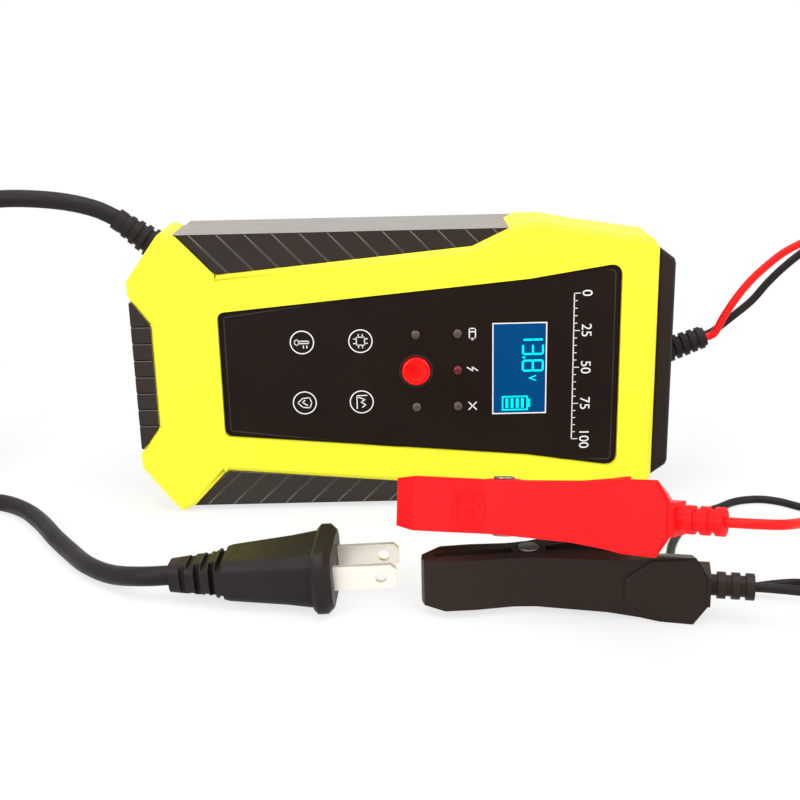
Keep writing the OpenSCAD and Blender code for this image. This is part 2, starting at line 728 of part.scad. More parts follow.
// Clamps. Each has its pivot at its own origin, +X to the rear, the lever on +Y and the rivet along Z.
red_at = [23.95, -88.5, 27.1];
red_turn = [-17.9, -1.7, -14.7];
black_at = [30.2, -88.3, boot_w / 2];
black_turn = [0, 0, 5];
function turn_x(p, a) = [p.x, p.y * cos(a) - p.z * sin(a), p.y * sin(a) + p.z * cos(a)];
function turn_y(p, a) = [p.x * cos(a) + p.z * sin(a), p.y, p.z * cos(a) - p.x * sin(a)];
function turn_z(p, a) = [p.x * cos(a) - p.y * sin(a), p.x * sin(a) + p.y * cos(a), p.z];
function turned(p, t) = turn_z(turn_y(turn_x(p, t.x), t.y), t.z);
relief_l = 10.5;
relief_r = 3.3;
web_y = 5.6;
shell_depth = 6.4;
along = [cos(spread), -sin(spread), 0];
inward = [sin(spread), cos(spread), 0];
boot_depth = 9.4;
heel = [1, -web_y, 0];
function on_handle(x, y) = let (q = heel + x * along + y * inward) [q.x, q.y];
relief_end = heel + (handle_l + relief_l) * along + (boot_depth / 2) * inward;
red_start = red_at + turned(relief_end, red_turn);
red_away = turned(along, red_turn);
black_start = black_at + turned(relief_end, black_turn);
black_away = turned(along, black_turn);
echo(red_start = red_start, red_away = red_away, black_start = black_start, black_away = black_away);

// Routes of the free stretches, from the housing or coil to the coil, plug or clamp
ac_upper_pts = concat([ac_end, ac_end + 0.6 * ac_dir], [[-89.15, -8, 91.36], [-94.07, -8, 92.97],
    [-99.15, -8, 94.09], [-104.34, -8, 94.81], [-109.57, -7.98, 95.25], [-114.81, -7.84, 95.44],
    [-119.97, -7.4, 95.26], [-124.96, -6.43, 94.6], [-129.64, -4.78, 93.41], [-133.84, -2.45, 91.72],
    [-137.41, 0.48, 89.57], [-140.23, 3.92, 87.05], [-142.19, 7.73, 84.25], [-143.33, 11.78, 81.27],
    [-143.82, 15.95, 78.2], [-143.97, 20.18, 75.1], [-144, 24.42, 72], [-144, 28.67, 68.9],
    [-144, 32.9, 65.8], [-144, 37.12, 62.69], [-144, 41.29, 59.52], [-144, 45.25, 56.14],
    [-144, 48.78, 52.38], [-144, 51.64, 48.14], [-144.02, 53.68, 43.47], [-144.16, 54.88, 38.49],
    [-144.63, 55.41, 33.4], [-145.71, 55.57, 28.38], [-147.6, 55.6, 23.62], [-150.36, 55.6, 19.32],
    [-153.89, 55.6, 15.63], [-158.05, 55.6, 12.68], [-162.7, 55.6, 10.58], [-167.67, 55.62, 9.28]],
    [end_of(ac_coil_pts)]);
ac_lower_pts = concat([ac_coil_pts[0]], [[-166, -15.6, 2.6], [-156, -15.6, 2.6], [-146, -15.6, 2.6],
    [-136, -15.6, 2.6],
    [-126, -17.5, 2.6], [-117, -24, 2.6], [-109, -34, 2.6], [-102, -45, 2.6], [-95, -55, 2.6], [-87.5,
        -65, 2.8],
    [-79, -73, 3.6]], [plug_tail - 7 * plug_dir, plug_tail]);
red_out = dc_end + [0, -dc_pair, 0];
black_out = dc_end + [0, dc_pair, 0];
red_upper_pts = concat([red_out, red_out + dc_d * dc_out], [[99, -6.2, 54.3], [102.7, -5.6, 60], [107, -5,
    65.2],
    [111.6, -4.4, 69.4], [116.5, -4, 73.2], [121.8, -3.8, 76], [128, -3.8, 78.6], [134.5, -4, 80], [141,
        -4.4, 79.6],
    [149, -5, 77], [157, -7, 71], [163, -10, 62], [167, -16, 50], [168, -24, 38], [166, -34, 24], [160,
        -42, 12],
    [150, -48, 6]], [end_of(red_coil_pts) + [5, 0, 0.3], end_of(red_coil_pts)]);
black_upper_pts = concat([black_out, black_out + dc_d * dc_out], [[103, -2.4, 53.6], [109, -1, 58.1],
    [113.3, 0, 62.8], [117.6, 0.6, 67], [124, 1.2, 72.2], [133, 2, 77.5], [142, 2.5, 80], [151, 3, 78],
        [160, 3, 73],
    [168, 2, 65], [174, 0, 54], [177, -5, 41], [177, -14, 28], [174, -24, 16], [168, -32, 8]],
    [end_of(black_coil_pts) + [8, 0, 0.8], end_of(black_coil_pts)]);
red_lower_pts = concat([red_start, red_start + dc_d * red_away], [[77.3, -119.1, 34.1],
    [82.2, -119.3, 33.9], [87.2, -115.8, 32.6], [92, -109.2, 30.4], [96.8, -99.6, 26.6],
    [101.2, -88.8, 21.6], [105.5, -78, 16.2], [110.4, -67.2, 10.8], [116, -58.4, 6.4], [122, -52.6, 3.6],
    [128, -49.6, 1.9]],
    [red_coil_pts[0]]);
black_lower_pts = concat([black_start, black_start + dc_d * black_away], [[91.4, -100.9, 8.8],
    [96.2, -100.9, 8.2], [99.8, -98, 7.2], [100.6, -93.4, 6], [98, -89.6, 4.8], [93.2, -87.6, 3.6],
    [87, -86.6, 2.4], [80.6, -85.2, 1.5], [75, -81.6, 1.2], [72, -76, 1.2], [71.6, -67, 1.2],
    [74, -57, 1.2], [80.6, -44, 1.2], [88.6, -34.6, 1.2], [94.4, -30.6, 1.2], [99.4, -26.8, 1.2],
    [104, -25.2, 1.2], [109, -25.2, 1.2], [113.6, -27.4, 1.2], [118.6, -32, 1.2], [126, -35.8, 1.2],
    [138, -37.2, 1.2]],
    [black_coil_pts[0]]);

module ac_cord_upper() {
    color(black_plastic) tube(ac_upper_pts, ac_d, 10);
}
module ac_coil() {
    color(black_plastic) tube(ac_coil_pts, ac_d, 6);
}
module ac_cord_lower() {
    color(black_plastic) tube(ac_lower_pts, ac_d, 10);
}
module red_lead_upper() {
    color(clamp_red) tube(red_upper_pts, dc_d, 8);
}
module red_coil() {
    color(clamp_red) tube(red_coil_pts, dc_d, 6);
}
module red_lead_lower() {
    color(clamp_red) tube(red_lower_pts, dc_d, 8);
}
module black_lead_upper() {
    color(clamp_black) tube(black_upper_pts, dc_d, 8);
}
module black_coil() {
    color(clamp_black) tube(black_coil_pts, dc_d, 6);
}
module black_lead_lower() {
    color(clamp_black) tube(black_lower_pts, dc_d, 8);
}

// The clamps' halves: a side profile crossed with a plan
lip = 0.2;
tip_x = -jaw_l;
jaw_line = [[tip_x, -lip], [tip_x + 0.4, -2.6], [-21.5, 0.3 - web_y], [-14, -web_y], [-5, 0.5 - web_y]];
jaw_floor = [[tip_x + 1.4, -lip - 1.1], [-21.2, 0.3 + clamp_wall - web_y], [-14, clamp_wall - web_y],
    [-5, 0.5 + clamp_wall - web_y]];
// The lips of the side walls stand back from the closing plane, so that the copper shows between them
lip_line = [[6.6, -1.75], [4.5, -1.7], [tip_x + 4, -1.7], [tip_x + 2.6, -lip]];
boot_from = 31;
lug_r = 4.3;
channel_z = 4.9;
ear_z = [channel_z - 1.8, channel_z - clamp_gap];
plan_half = [[tip_x - 1, 5.9], [tip_x, 5.9], [-22, jaw_w / 2 - 0.1], [-3, jaw_w / 2 - 0.2], [18,
    jaw_w / 2 + 0.2],
    [25.5, boot_w / 2 - 1], [30, boot_w / 2 - 0.2], [37.7, boot_w / 2], [40.8, 3.9], [46, 3.9]];
function plan_line(d) = [for (q = plan_half) [q[0], q[1] - d]];
function mirrored(p) = [for (i = [len(p) - 1:-1:0]) [p[i].x, -p[i].y]];
module plan_cut(d) {
    translate([0, 30, 0]) rotate([90, 0, 0]) linear_extrude(60) polygon(concat(plan_line(d),
        mirrored(plan_line(d))));
}
module thick(z0, z1) {
    translate([0, 0, z0]) linear_extrude(z1 - z0) children();
}
module both_sides(z0, z1) {
    thick(z0, z1) children();
    thick(-z1, -z0) children();
}
module rivet_bore(r) {
    translate([0, 0, -12]) cylinder(r = r, h = 24);
}
module on_handle_frame() {
    translate(heel) rotate([0, 0, -spread]) children();
}
pad_half = [[21.6, 2.7], [27.6, 7.5], [38, boot_w / 2 - 0.4], [40.6, 4]];
module handle_half(marked) {
    body = concat(jaw_line, [[1, -web_y], on_handle(handle_l, 0), on_handle(handle_l, boot_depth),
        on_handle(boot_from, boot_depth), on_handle(boot_from - 2.2, shell_depth)], lip_line);
    difference() {
        union() {
            intersection() {
                union() {
                    thick(-12, 12) polygon(body);
                    both_sides(channel_z, 12) circle(lug_r);
                }
                plan_cut(0);
            }
            on_handle_frame() {
                rotate([90, 0, 0]) linear_extrude(0.6)
                    polygon(concat(pad_half, mirrored(pad_half)));
                translate([handle_l - 1, boot_depth / 2, 0]) rotate([0, 90, 0]) {
                    cylinder(r = 2.6, h = relief_l + 1);
                    for (i = [0:2])
                        translate([0, 0, 2.6 + i * 3.4]) cylinder(r = relief_r, h = 2);
                }
            }
            if (marked)
                translate([-7.4, -5.22, 0]) rotate([0, 0, 3.2]) clamp_mark();
        }
        on_handle_frame() boot_flanks();
        thick(-channel_z, channel_z) polygon(concat([[jaw_floor[0].x, 8]], jaw_floor,
            [[1, clamp_wall - web_y], on_handle(boot_from - 2.8, clamp_wall), on_handle(boot_from - 2.8,
                20)]));
        rivet_bore(rivet_r);
    }
}
// The boot narrows from its outer face inwards
module boot_flanks() {
    translate([boot_from - 2.8, 0, 0]) rotate([90, 0, 90]) linear_extrude(handle_l - boot_from + 2.7) for
        (s = [-1, 1])
        polygon([[0.4, s * boot_w / 2], [boot_depth + 3, s * (boot_w / 2 - 4.4)], [boot_depth + 3,
            s * boot_w],
            [0.4, s * boot_w]]);
}
// A raised square with a plus sign, on the web near the pivot
module clamp_mark() {
    rotate([90, 0, 0]) translate([0, 0, -0.6]) linear_extrude(1) difference() {
        square(7.5, center = true);
        square(6.3, center = true);
    }
    rotate([90, 0, 0]) translate([0, 0, -0.6]) linear_extrude(1) for (a = [0, 90])
        rotate(a) square([4.6, 1.3], center = true);
}
module lever_half() {
    body = concat(jaw_line, [[1, -web_y], on_handle(lever_l, 0), on_handle(lever_l, shell_depth - 1),
        on_handle(lever_l - 1, shell_depth)], lip_line);
    mirror([0, 1, 0]) difference() {
        union() {
            difference() {
                intersection() {
                    thick(-12, 12) polygon(body);
                    plan_cut(0.45);
                }
                both_sides(channel_z - clamp_gap, 12) circle(lug_r + clamp_gap);
                thick(-channel_z + clamp_gap, channel_z - clamp_gap) polygon(concat([[jaw_floor[0].x, 8]],
                    jaw_floor,
                    [[1, clamp_wall - web_y], on_handle(lever_l - clamp_wall, clamp_wall),
                        on_handle(lever_l - clamp_wall, 20)]));
            }
            both_sides(ear_z[0], ear_z[1]) {
                circle(3.3);
                translate([-3.3, 0.3 - web_y]) square([6.6, web_y - 0.3]);
            }
        }
        rivet_bore(rivet_r + rivet_play);
    }
}
tooth = 1.6;
jaw_z = channel_z - clamp_gap;
module jaw_strip() {
    x0 = tip_x + 1.4;
    n = floor((-6.5 - x0) / tooth);
    edge = [for (i = [0:n - 1]) for (q = [[0.5, -0.3], [1, -1.1]]) [-6.5 - (i + q[0]) * tooth, q[1]]];
    difference() {
        thick(-jaw_z, jaw_z) polygon(concat([[-6.5, -1.1]], edge,
            [jaw_floor[0], jaw_floor[1], jaw_floor[2], [-6.5, 0.42 + clamp_wall - web_y]]));
        thick(0.8 - jaw_z, jaw_z - 0.8) polygon([[x0 - 1, 3], [x0 - 1, -0.9], [-21,
            1.2 + clamp_wall - web_y],
            [-14, 0.9 + clamp_wall - web_y], [-6, 1.2 + clamp_wall - web_y], [-6, 3]]);
    }
}
spring_wire = 0.9;
module coil_spring() {
    turns = 4;
    steps = 16;
    h = 4.6;
    n = turns * steps + steps / 2;
    body = [for (i = [0:n]) let (a = -90 - 360 * i / steps) [2.5 * cos(a), 2.5 * sin(a),
        h * (i / n - 0.5)]];
    tube(concat([[13, -6.9, -h / 2], [8, -5, -h / 2], [3, -3, -h / 2]], body, [[3.6, 2.1, h / 2], [10,
        1.1, h / 2]]),
        spring_wire, 6);
}
module clamp_rivet() {
    cylinder(r = rivet_r, h = 2 * 7.2, center = true);
    for (s = [-1, 1])
        translate([0, 0, s * 7]) cylinder(r = 2.6, h = 0.6, center = true);
}
module at_red() {
    translate(red_at) rotate(red_turn) children();
}
module at_black() {
    translate(black_at) rotate(black_turn) children();
}
module red_clamp_handle() {
    color(clamp_red) at_red() handle_half(true);
}
module red_clamp_lever() {
    color(clamp_red) at_red() lever_half();
}
module red_handle_jaw() {
    color(copper) at_red() jaw_strip();
}
module red_lever_jaw() {
    color(copper) at_red() mirror([0, 1, 0]) jaw_strip();
}
module red_clamp_spring() {
    color(steel) at_red() coil_spring();
}
module red_clamp_rivet() {
    color(steel) at_red() clamp_rivet();
}
module black_clamp_handle() {
    color(clamp_black) at_black() handle_half(false);
}
module black_clamp_lever() {
    color(clamp_black) at_black() lever_half();
}
module black_handle_jaw() {
    color(copper) at_black() jaw_strip();
}
module black_lever_jaw() {
    color(copper) at_black() mirror([0, 1, 0]) jaw_strip();
}
module black_clamp_spring() {
    color(steel) at_black() coil_spring();
}
module black_clamp_rivet() {
    color(steel) at_black() clamp_rivet();
}

front_shell();
front_frame();
back_shell();
end_cap();
face_panel();
lcd_glass();
lcd_module();
mode_button();
mode_switch();
status_leds();
display_board();
main_board();
transformer_core();
transformer_winding();
filter_capacitor();
output_capacitors();
heat_sink();
power_transistors();
choke_core();
choke_winding();
line_filter();
fuse();
housing_screws();
board_screws();
ac_gland();
dc_gland();
ac_cord_upper();
ac_coil();
ac_cord_lower();
plug_body();
plug_blades();
red_lead_upper();
red_coil();
red_lead_lower();
black_lead_upper();
black_coil();
black_lead_lower();
red_clamp_handle();
red_clamp_lever();
red_handle_jaw();
red_lever_jaw();
red_clamp_spring();
red_clamp_rivet();
black_clamp_handle();
black_clamp_lever();
black_handle_jaw();
black_lever_jaw();
black_clamp_spring();
black_clamp_rivet();
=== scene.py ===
"""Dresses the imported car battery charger: mouldings, printed face, display, cords, plug and clamps."""

from __future__ import annotations

import logging
import math
from dataclasses import dataclass, field
from enum import Enum
from typing import Sequence

import bmesh
import bpy
from mathutils import Matrix, Vector

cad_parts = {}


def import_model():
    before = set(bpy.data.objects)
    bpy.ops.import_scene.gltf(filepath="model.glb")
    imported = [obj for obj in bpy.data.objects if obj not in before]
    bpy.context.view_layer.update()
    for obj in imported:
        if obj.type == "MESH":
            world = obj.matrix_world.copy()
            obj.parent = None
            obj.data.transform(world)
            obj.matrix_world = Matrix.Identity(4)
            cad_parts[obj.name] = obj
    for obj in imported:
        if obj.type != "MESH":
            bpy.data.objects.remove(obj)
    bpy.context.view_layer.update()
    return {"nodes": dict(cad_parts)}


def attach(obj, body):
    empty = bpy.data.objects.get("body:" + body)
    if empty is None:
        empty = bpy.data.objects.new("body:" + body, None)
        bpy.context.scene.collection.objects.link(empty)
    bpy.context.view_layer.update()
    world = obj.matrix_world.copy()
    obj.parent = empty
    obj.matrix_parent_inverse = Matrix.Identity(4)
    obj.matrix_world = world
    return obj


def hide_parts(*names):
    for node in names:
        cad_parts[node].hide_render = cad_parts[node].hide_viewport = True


LOG = logging.getLogger("battery_charger")
MM = 0.001
HOUSING = "charger"
Colour = tuple[float, float, float]
Point = tuple[float, float, float]
Flat = tuple[float, float]
Shape = bmesh.types.BMesh
Piece = bpy.types.Object
Node = bpy.types.Node
Socket = bpy.types.NodeSocket
Value = float | tuple | Socket


# ---- finishes


BROAD_SCALE = 46.0
GLOSS_SCALE = 140.0
NOISE_RANGE = (0.3, 0.7)
GRAIN_STRENGTH = 0.6
COAT_ROUGHNESS = 0.12
SHEEN_ROUGHNESS = 0.5
SHEEN_TINT = (1.0, 0.93, 0.88, 1.0)


@dataclass(frozen=True)
class Graph:
    """Adds and wires shader nodes in one node tree."""

    tree: bpy.types.NodeTree

    def node(self, kind: str, **settings: object) -> Node:
        """Add a shader node.

        Args:
            kind: Its type, without ShaderNode.
            **settings: Its properties, by name.

        Returns:
            The node.
        """
        node = self.tree.nodes.new(f"ShaderNode{kind}")
        for name, value in settings.items():
            setattr(node, name, value)
        return node

    def put(self, socket: Socket, value: Value) -> None:
        """Link a value to an input, or set it there.

        Args:
            socket: The input.
            value: Another node's output, or a plain value.
        """
        if isinstance(value, Socket):
            self.tree.links.new(value, socket)
        else:
            socket.default_value = value

    def feed(self, node: Node, **values: Value) -> None:
        """Put values on a node's inputs, each by the input's name with _ for its spaces."""
        for name, value in values.items():
            self.put(node.inputs[name.replace("_", " ")], value)

    def maths(self, operation: str, *values: Value) -> Socket:
        """Add one step of arithmetic.

        Args:
            operation: The step.
            *values: What it works on.

        Returns:
            The step's output.
        """
        node = self.node("Math", operation=operation)
        for socket, value in zip(node.inputs, values):
            self.put(socket, value)
        return node.outputs[0]

    def noise(self, vector: Value, scale: Value, detail: float) -> Socket:
        """Add a noise texture.

        Args:
            vector: Its coordinates.
            scale: Its scale.
            detail: Its number of octaves.

        Returns:
            Its factor.
        """
        node = self.node("TexNoise")
        self.feed(node, Vector=vector, Scale=scale, Detail=detail)
        return node.outputs["Fac"]

    def spread(self, value: Value, low: Value, high: Value, source: Flat = NOISE_RANGE) -> Socket:
        """Map a value onto a range.

        Args:
            value: The value, a noise factor unless source says otherwise.
            low: The result at the low end of its range.
            high: The result at the high end.
            source: The value's own range.

        Returns:
            The mapped value.
        """
        node = self.node("MapRange")
        self.feed(node, Value=value, From_Min=source[0], From_Max=source[1], To_Min=low, To_Max=high)
        return node.outputs["Result"]

    def place(self) -> Socket:
        """Return the object coordinates."""
        return self.node("TexCoord").outputs["Object"]

    def seen(self) -> Socket:
        """Tell rays that show a surface from rays that light one.

        Returns:
            An output that is 1 for the first and 0 for the others.
        """
        path = self.node("LightPath").outputs
        direct = self.maths("MAXIMUM", path["Is Camera Ray"], path["Is Glossy Ray"])
        return self.maths("MAXIMUM", direct, path["Is Transmission Ray"])


def new_group(name: str, inputs: dict[str, Value], outputs: Sequence[str]) -> tuple[Graph, Node, Node]:
    """Make an empty shader node group.

    Args:
        name: The group's name.
        inputs: Each input's default by its name, a number or a colour.
        outputs: The outputs' names. Colour is a colour, and the rest are numbers.

    Returns:
        The group's graph, its input node and its output node.
    """
    tree = bpy.data.node_groups.new(name, "ShaderNodeTree")
    for label, value in inputs.items():
        kind = "NodeSocketColor" if isinstance(value, tuple) else "NodeSocketFloat"
        socket = tree.interface.new_socket(name=label, in_out="INPUT", socket_type=kind)
        socket.default_value = value
    for label in outputs:
        kind = "NodeSocketColor" if label == "Colour" else "NodeSocketFloat"
        tree.interface.new_socket(name=label, in_out="OUTPUT", socket_type=kind)
    return Graph(tree), tree.nodes.new("NodeGroupInput"), tree.nodes.new("NodeGroupOutput")


def moulded_surface() -> bpy.types.NodeTree:
    """Build or find the group for a moulded skin: changes of tone and gloss, and a fine grain.

    Returns:
        The node group, with outputs Colour, Roughness and Grain.
    """
    found = bpy.data.node_groups.get("moulded surface")
    if found:
        return found
    graph, inlet, outlet = new_group(
        "moulded surface",
        {
            "Colour": (0.5, 0.5, 0.5, 1.0), "Tone": 0.05, "Roughness": 0.4, "Gloss Spread": 0.06,
            "Grain Scale": 1800.0,
        },
        ("Colour", "Roughness", "Grain"),
    )
    given, place = inlet.outputs, graph.place()
    darkest = graph.maths("SUBTRACT", 1.0, given["Tone"])
    shade = graph.node("VectorMath", operation="SCALE")
    graph.put(shade.inputs[0], given["Colour"])
    graph.feed(shade, Scale=graph.spread(graph.noise(place, BROAD_SCALE, 3.0), darkest, 1.0))
    dullest = graph.maths("ADD", given["Roughness"], given["Gloss Spread"])
    gloss = graph.spread(graph.noise(place, GLOSS_SCALE, 4.0), given["Roughness"], dullest)
    grain = graph.noise(place, given["Grain Scale"], 2.0)
    graph.feed(outlet, Colour=shade.outputs[0], Roughness=gloss, Grain=grain)
    return graph.tree


def grip_edge_highlights() -> bpy.types.NodeTree:
    """Build or find the group for the light slanted lines in the two long grips: painted highlights on the
    edges of the grips' grooves.

    Returns:
        The node group, with the output Mask.
    """
    found = bpy.data.node_groups.get("grip edge highlights")
    if found:
        return found
    graph, inlet, outlet = new_group(
        "grip edge highlights",
        {
            "Pitch": 0.008, "Shift": 0.0355, "Width": 0.026, "Middle": 0.0435, "Inner Edge": 0.024,
            "Outer Edge": 0.0417, "Front": -0.0195, "Left End": -0.068,
        },
        ("Mask",),
    )
    given, maths = inlet.outputs, graph.maths
    split = graph.node("SeparateXYZ")
    graph.feed(split, Vector=graph.place())
    x, y, z = split.outputs
    high = maths("ABSOLUTE", maths("SUBTRACT", z, given["Middle"]))
    turns = maths("DIVIDE", maths("ADD", maths("ADD", x, high), given["Shift"]), given["Pitch"])
    phase = maths("ABSOLUTE", maths("SUBTRACT", maths("FRACT", maths("ADD", turns, 0.5)), 0.5))
    mask = maths("LESS_THAN", phase, given["Width"])
    for limit in (
        maths("GREATER_THAN", high, given["Inner Edge"]), maths("LESS_THAN", high, given["Outer Edge"]),
        maths("LESS_THAN", y, given["Front"]), maths("GREATER_THAN", x, given["Left End"]),
    ):
        mask = maths("MULTIPLY", mask, limit)
    graph.feed(outlet, Mask=mask)
    return graph.tree


@dataclass(frozen=True)
class Finish:
    """One moulded, printed or plated finish."""

    name: str
    colour: Colour
    roughness: float = 0.4
    tone: float = 0.05
    gloss_spread: float = 0.06
    grain_scale: float = 1800.0
    grain_depth: float = 0.00002
    metallic: float = 0.0
    coat: float = 0.0
    specular: float = 0.5
    sheen: float = 0.0
    # Colour of the light slanted lines in the grips: a painted highlight on the grooves' edges.
    lines: Colour | None = None
    glow: Colour | None = None
    alpha: float = 1.0

    def material(self) -> bpy.types.Material:
        """Build the material, or find the one made before.

        Returns:
            The material.
        """
        found = bpy.data.materials.get(self.name)
        if found:
            return found
        mat = bpy.data.materials.new(self.name)
        mat.use_nodes = True
        graph = Graph(mat.node_tree)
        shader = graph.tree.nodes["Principled BSDF"]
        graph.feed(
            shader, Metallic=self.metallic, Coat_Weight=self.coat, Coat_Roughness=COAT_ROUGHNESS,
            Specular_IOR_Level=self.specular, Sheen_Weight=self.sheen,
            Sheen_Roughness=SHEEN_ROUGHNESS, Sheen_Tint=SHEEN_TINT, Alpha=self.alpha,
        )
        if self.glow:
            graph.feed(shader, Emission_Color=(*self.glow, 1.0), Emission_Strength=1.0)
        skin = graph.node("Group", node_tree=moulded_surface())
        graph.feed(
            skin, Colour=(*self.colour, 1.0), Tone=self.tone, Roughness=self.roughness,
            Gloss_Spread=self.gloss_spread, Grain_Scale=self.grain_scale,
        )
        tone = skin.outputs["Colour"]
        # Mix the painted highlight lines along the grip grooves into the colour.
        if self.lines:
            edge_highlights = graph.node("Group", node_tree=grip_edge_highlights())
            mix = graph.node("Mix", data_type="RGBA")
            graph.feed(mix, Factor=edge_highlights.outputs["Mask"], A=tone, B=(*self.lines, 1.0))
            tone = mix.outputs["Result"]
        bump = graph.node("Bump")
        graph.feed(bump, Distance=self.grain_depth, Strength=GRAIN_STRENGTH, Height=skin.outputs["Grain"])
        gloss, normal = skin.outputs["Roughness"], bump.outputs["Normal"]
        graph.feed(shader, Base_Color=tone, Roughness=gloss, Normal=normal)
        return mat


class Finishes(Enum):
    """Every finish on the charger."""

    YELLOW = Finish("yellow moulding", (0.98, 0.93, 0.035), 0.42, 0.04, grain_scale=2400, specular=0.25)
    BLACK = Finish("black moulding", (0.024, 0.016, 0.0125), 0.40, 0.25, 0.12, 2600, 0.00003, specular=0.14)
    # The grip moulding's light slanted lines are painted highlights on the grooves' edges.
    SHELL = Finish(
        "grip moulding", (0.015, 0.0085, 0.0055), 0.42, 0.25, 0.12, 2600, 0.00003,
        specular=0.12, sheen=0.75, lines=(0.17, 0.15, 0.135),
    )
    PANEL = Finish("face film", (0.014, 0.0085, 0.006), 0.42, 0.2, 0.1, 3000, 0.00001, specular=0.08)
    # The lip's grey is a painted highlight on a real raised line of the black film.
    LIP_HIGHLIGHT = Finish("panel lip highlight", (0.060, 0.052, 0.047), 0.35, 0.6, 0.1, specular=0.2)
    PRINT = Finish("white print", (0.88, 0.88, 0.87), 0.5, specular=0.2)
    LCD = Finish("display blue", (0.0, 0.022, 0.07), 0.3, specular=0.05, glow=(0.0, 0.048, 0.165))
    DIGIT = Finish("display digits", (0.0, 0.4, 0.4), 0.3, 0.0, specular=0.05, glow=(0.0, 0.82, 0.80))
    BUTTON = Finish("button red", (0.93, 0.005, 0.004), 0.28, 0.04, coat=0.2, specular=0.15)
    COLLAR = Finish("button collar", (0.045, 0.038, 0.036), 0.3, specular=0.2)
    LAMP = Finish("lamp lens", (0.10, 0.065, 0.055), 0.12, 0.2, coat=0.4, specular=0.2)
    LAMP_RED = Finish("lamp lens red", (0.13, 0.012, 0.010), 0.12, 0.2, coat=0.4, specular=0.2)
    CORD = Finish("cord jacket", (0.015, 0.012, 0.011), 0.38, 0.2, 0.14, 2200, 0.00003, specular=0.16)
    LEAD_RED = Finish("red lead jacket", (0.86, 0.008, 0.006), 0.34, 0.06, 0.1, specular=0.16)
    PLUG = Finish("plug moulding", (0.019, 0.0145, 0.013), 0.40, 0.25, 0.14, 2400, 0.00003, specular=0.16)
    BLADE = Finish("blade plating", (0.93, 0.89, 0.80), 0.26, 0.05, 0.12, 900, 0.000005, metallic=0.7)
    CLAMP_RED = Finish("clamp red", (0.93, 0.007, 0.010), 0.36, 0.06, 0.1, 2000, 0.00003, specular=0.12)
    CLAMP_BLACK = Finish(
        "clamp black", (0.025, 0.016, 0.012), 0.34, 0.2, 0.12, 2000, 0.00003, specular=0.14
    )
    COPPER = Finish("copper strip", (0.82, 0.55, 0.36), 0.34, 0.12, 0.12, 900, 0.00001, metallic=0.75)
    STEEL = Finish("zinc steel", (0.62, 0.61, 0.60), 0.3, 0.1, 0.12, 900, 0.00001, metallic=1.0)
    RIVET = Finish("rivet steel", (0.30, 0.27, 0.25), 0.36, 0.15, 0.12, 900, 0.00001, metallic=1.0)
    BOARD = Finish("solder resist", (0.02, 0.13, 0.04), 0.35, 0.2)
    FERRITE = Finish("ferrite", (0.05, 0.05, 0.055), 0.5, 0.2)
    TAPE = Finish("coil tape", (0.72, 0.45, 0.05), 0.35, 0.1)
    POWDER = Finish("core powder", (0.62, 0.55, 0.16), 0.6, 0.1)
    WIRE = Finish("enamelled wire", (0.55, 0.20, 0.07), 0.25, 0.2, metallic=0.8)
    SLEEVE = Finish("capacitor sleeve", (0.02, 0.03, 0.09), 0.3, 0.1)
    ALUMINIUM = Finish("sink aluminium", (0.72, 0.73, 0.75), 0.35, 0.08, metallic=1.0)
    PACKAGE = Finish("package black", (0.02, 0.02, 0.021), 0.45, 0.1)
    GLASS = Finish("fuse glass", (0.7, 0.74, 0.78), 0.08, 0.0, alpha=0.6)

    def mat(self) -> bpy.types.Material:
        """Return this finish's material."""
        return self.value.material()


# ---- mesh helpers


MERGE_GAP = 2e-6
FLAT_TURN = 0.6


def turns_by(edge: bmesh.types.BMEdge, angle: float) -> bool:
    """Return whether an edge lies between two faces and turns by more than an angle, in degrees."""
    return len(edge.link_faces) == 2 and edge.calc_face_angle(0.0) > math.radians(angle)


def piece_from(shape: Shape, name: str, finish: Finishes, smooth_angle: float = 32.0) -> Piece:
    """Turn a shape into a finished piece that sits at the origin.

    Args:
        shape: The shape, in metres in the row's frame. It is freed.
        name: The piece's name.
        finish: Its finish.
        smooth_angle: Edges that turn by more than this, in degrees, stay sharp.

    Returns:
        The new piece.
    """
    for face in shape.faces:
        face.smooth = True
    for edge in shape.edges:
        if turns_by(edge, smooth_angle):
            edge.smooth = False
    mesh = bpy.data.meshes.new(name)
    shape.to_mesh(mesh)
    shape.free()
    mesh.materials.append(finish.mat())
    piece = bpy.data.objects.new(name, mesh)
    bpy.context.scene.collection.objects.link(piece)
    return piece


def rounded_copy(node: Piece, bevel: float, limit: float, segments: int) -> Shape:
    """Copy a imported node, merge its loose triangles into faces and round its edges.

    Args:
        node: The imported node.
        bevel: The edges' bevel width, in millimetres.
        limit: Only edges that turn by more than this, in degrees, are bevelled.
        segments: The bevel's segments.

    Returns:
        The new shape, in metres.
    """
    shape = bmesh.new()
    shape.from_mesh(node.data)
    bmesh.ops.remove_doubles(shape, verts=shape.verts, dist=MERGE_GAP)
    flat = math.radians(FLAT_TURN)
    bmesh.ops.dissolve_limit(shape, angle_limit=flat, verts=shape.verts, edges=shape.edges)
    bmesh.ops.bevel(
        shape, geom=[e for e in shape.edges if turns_by(e, limit)], offset=bevel * MM, segments=segments,
        offset_type="OFFSET", affect="EDGES", profile=0.5, clamp_overlap=True, material=-1,
    )
    many_sided = [f for f in shape.faces if len(f.verts) > 4]
    bmesh.ops.triangulate(shape, faces=many_sided, quad_method="BEAUTY", ngon_method="BEAUTY")
    return shape


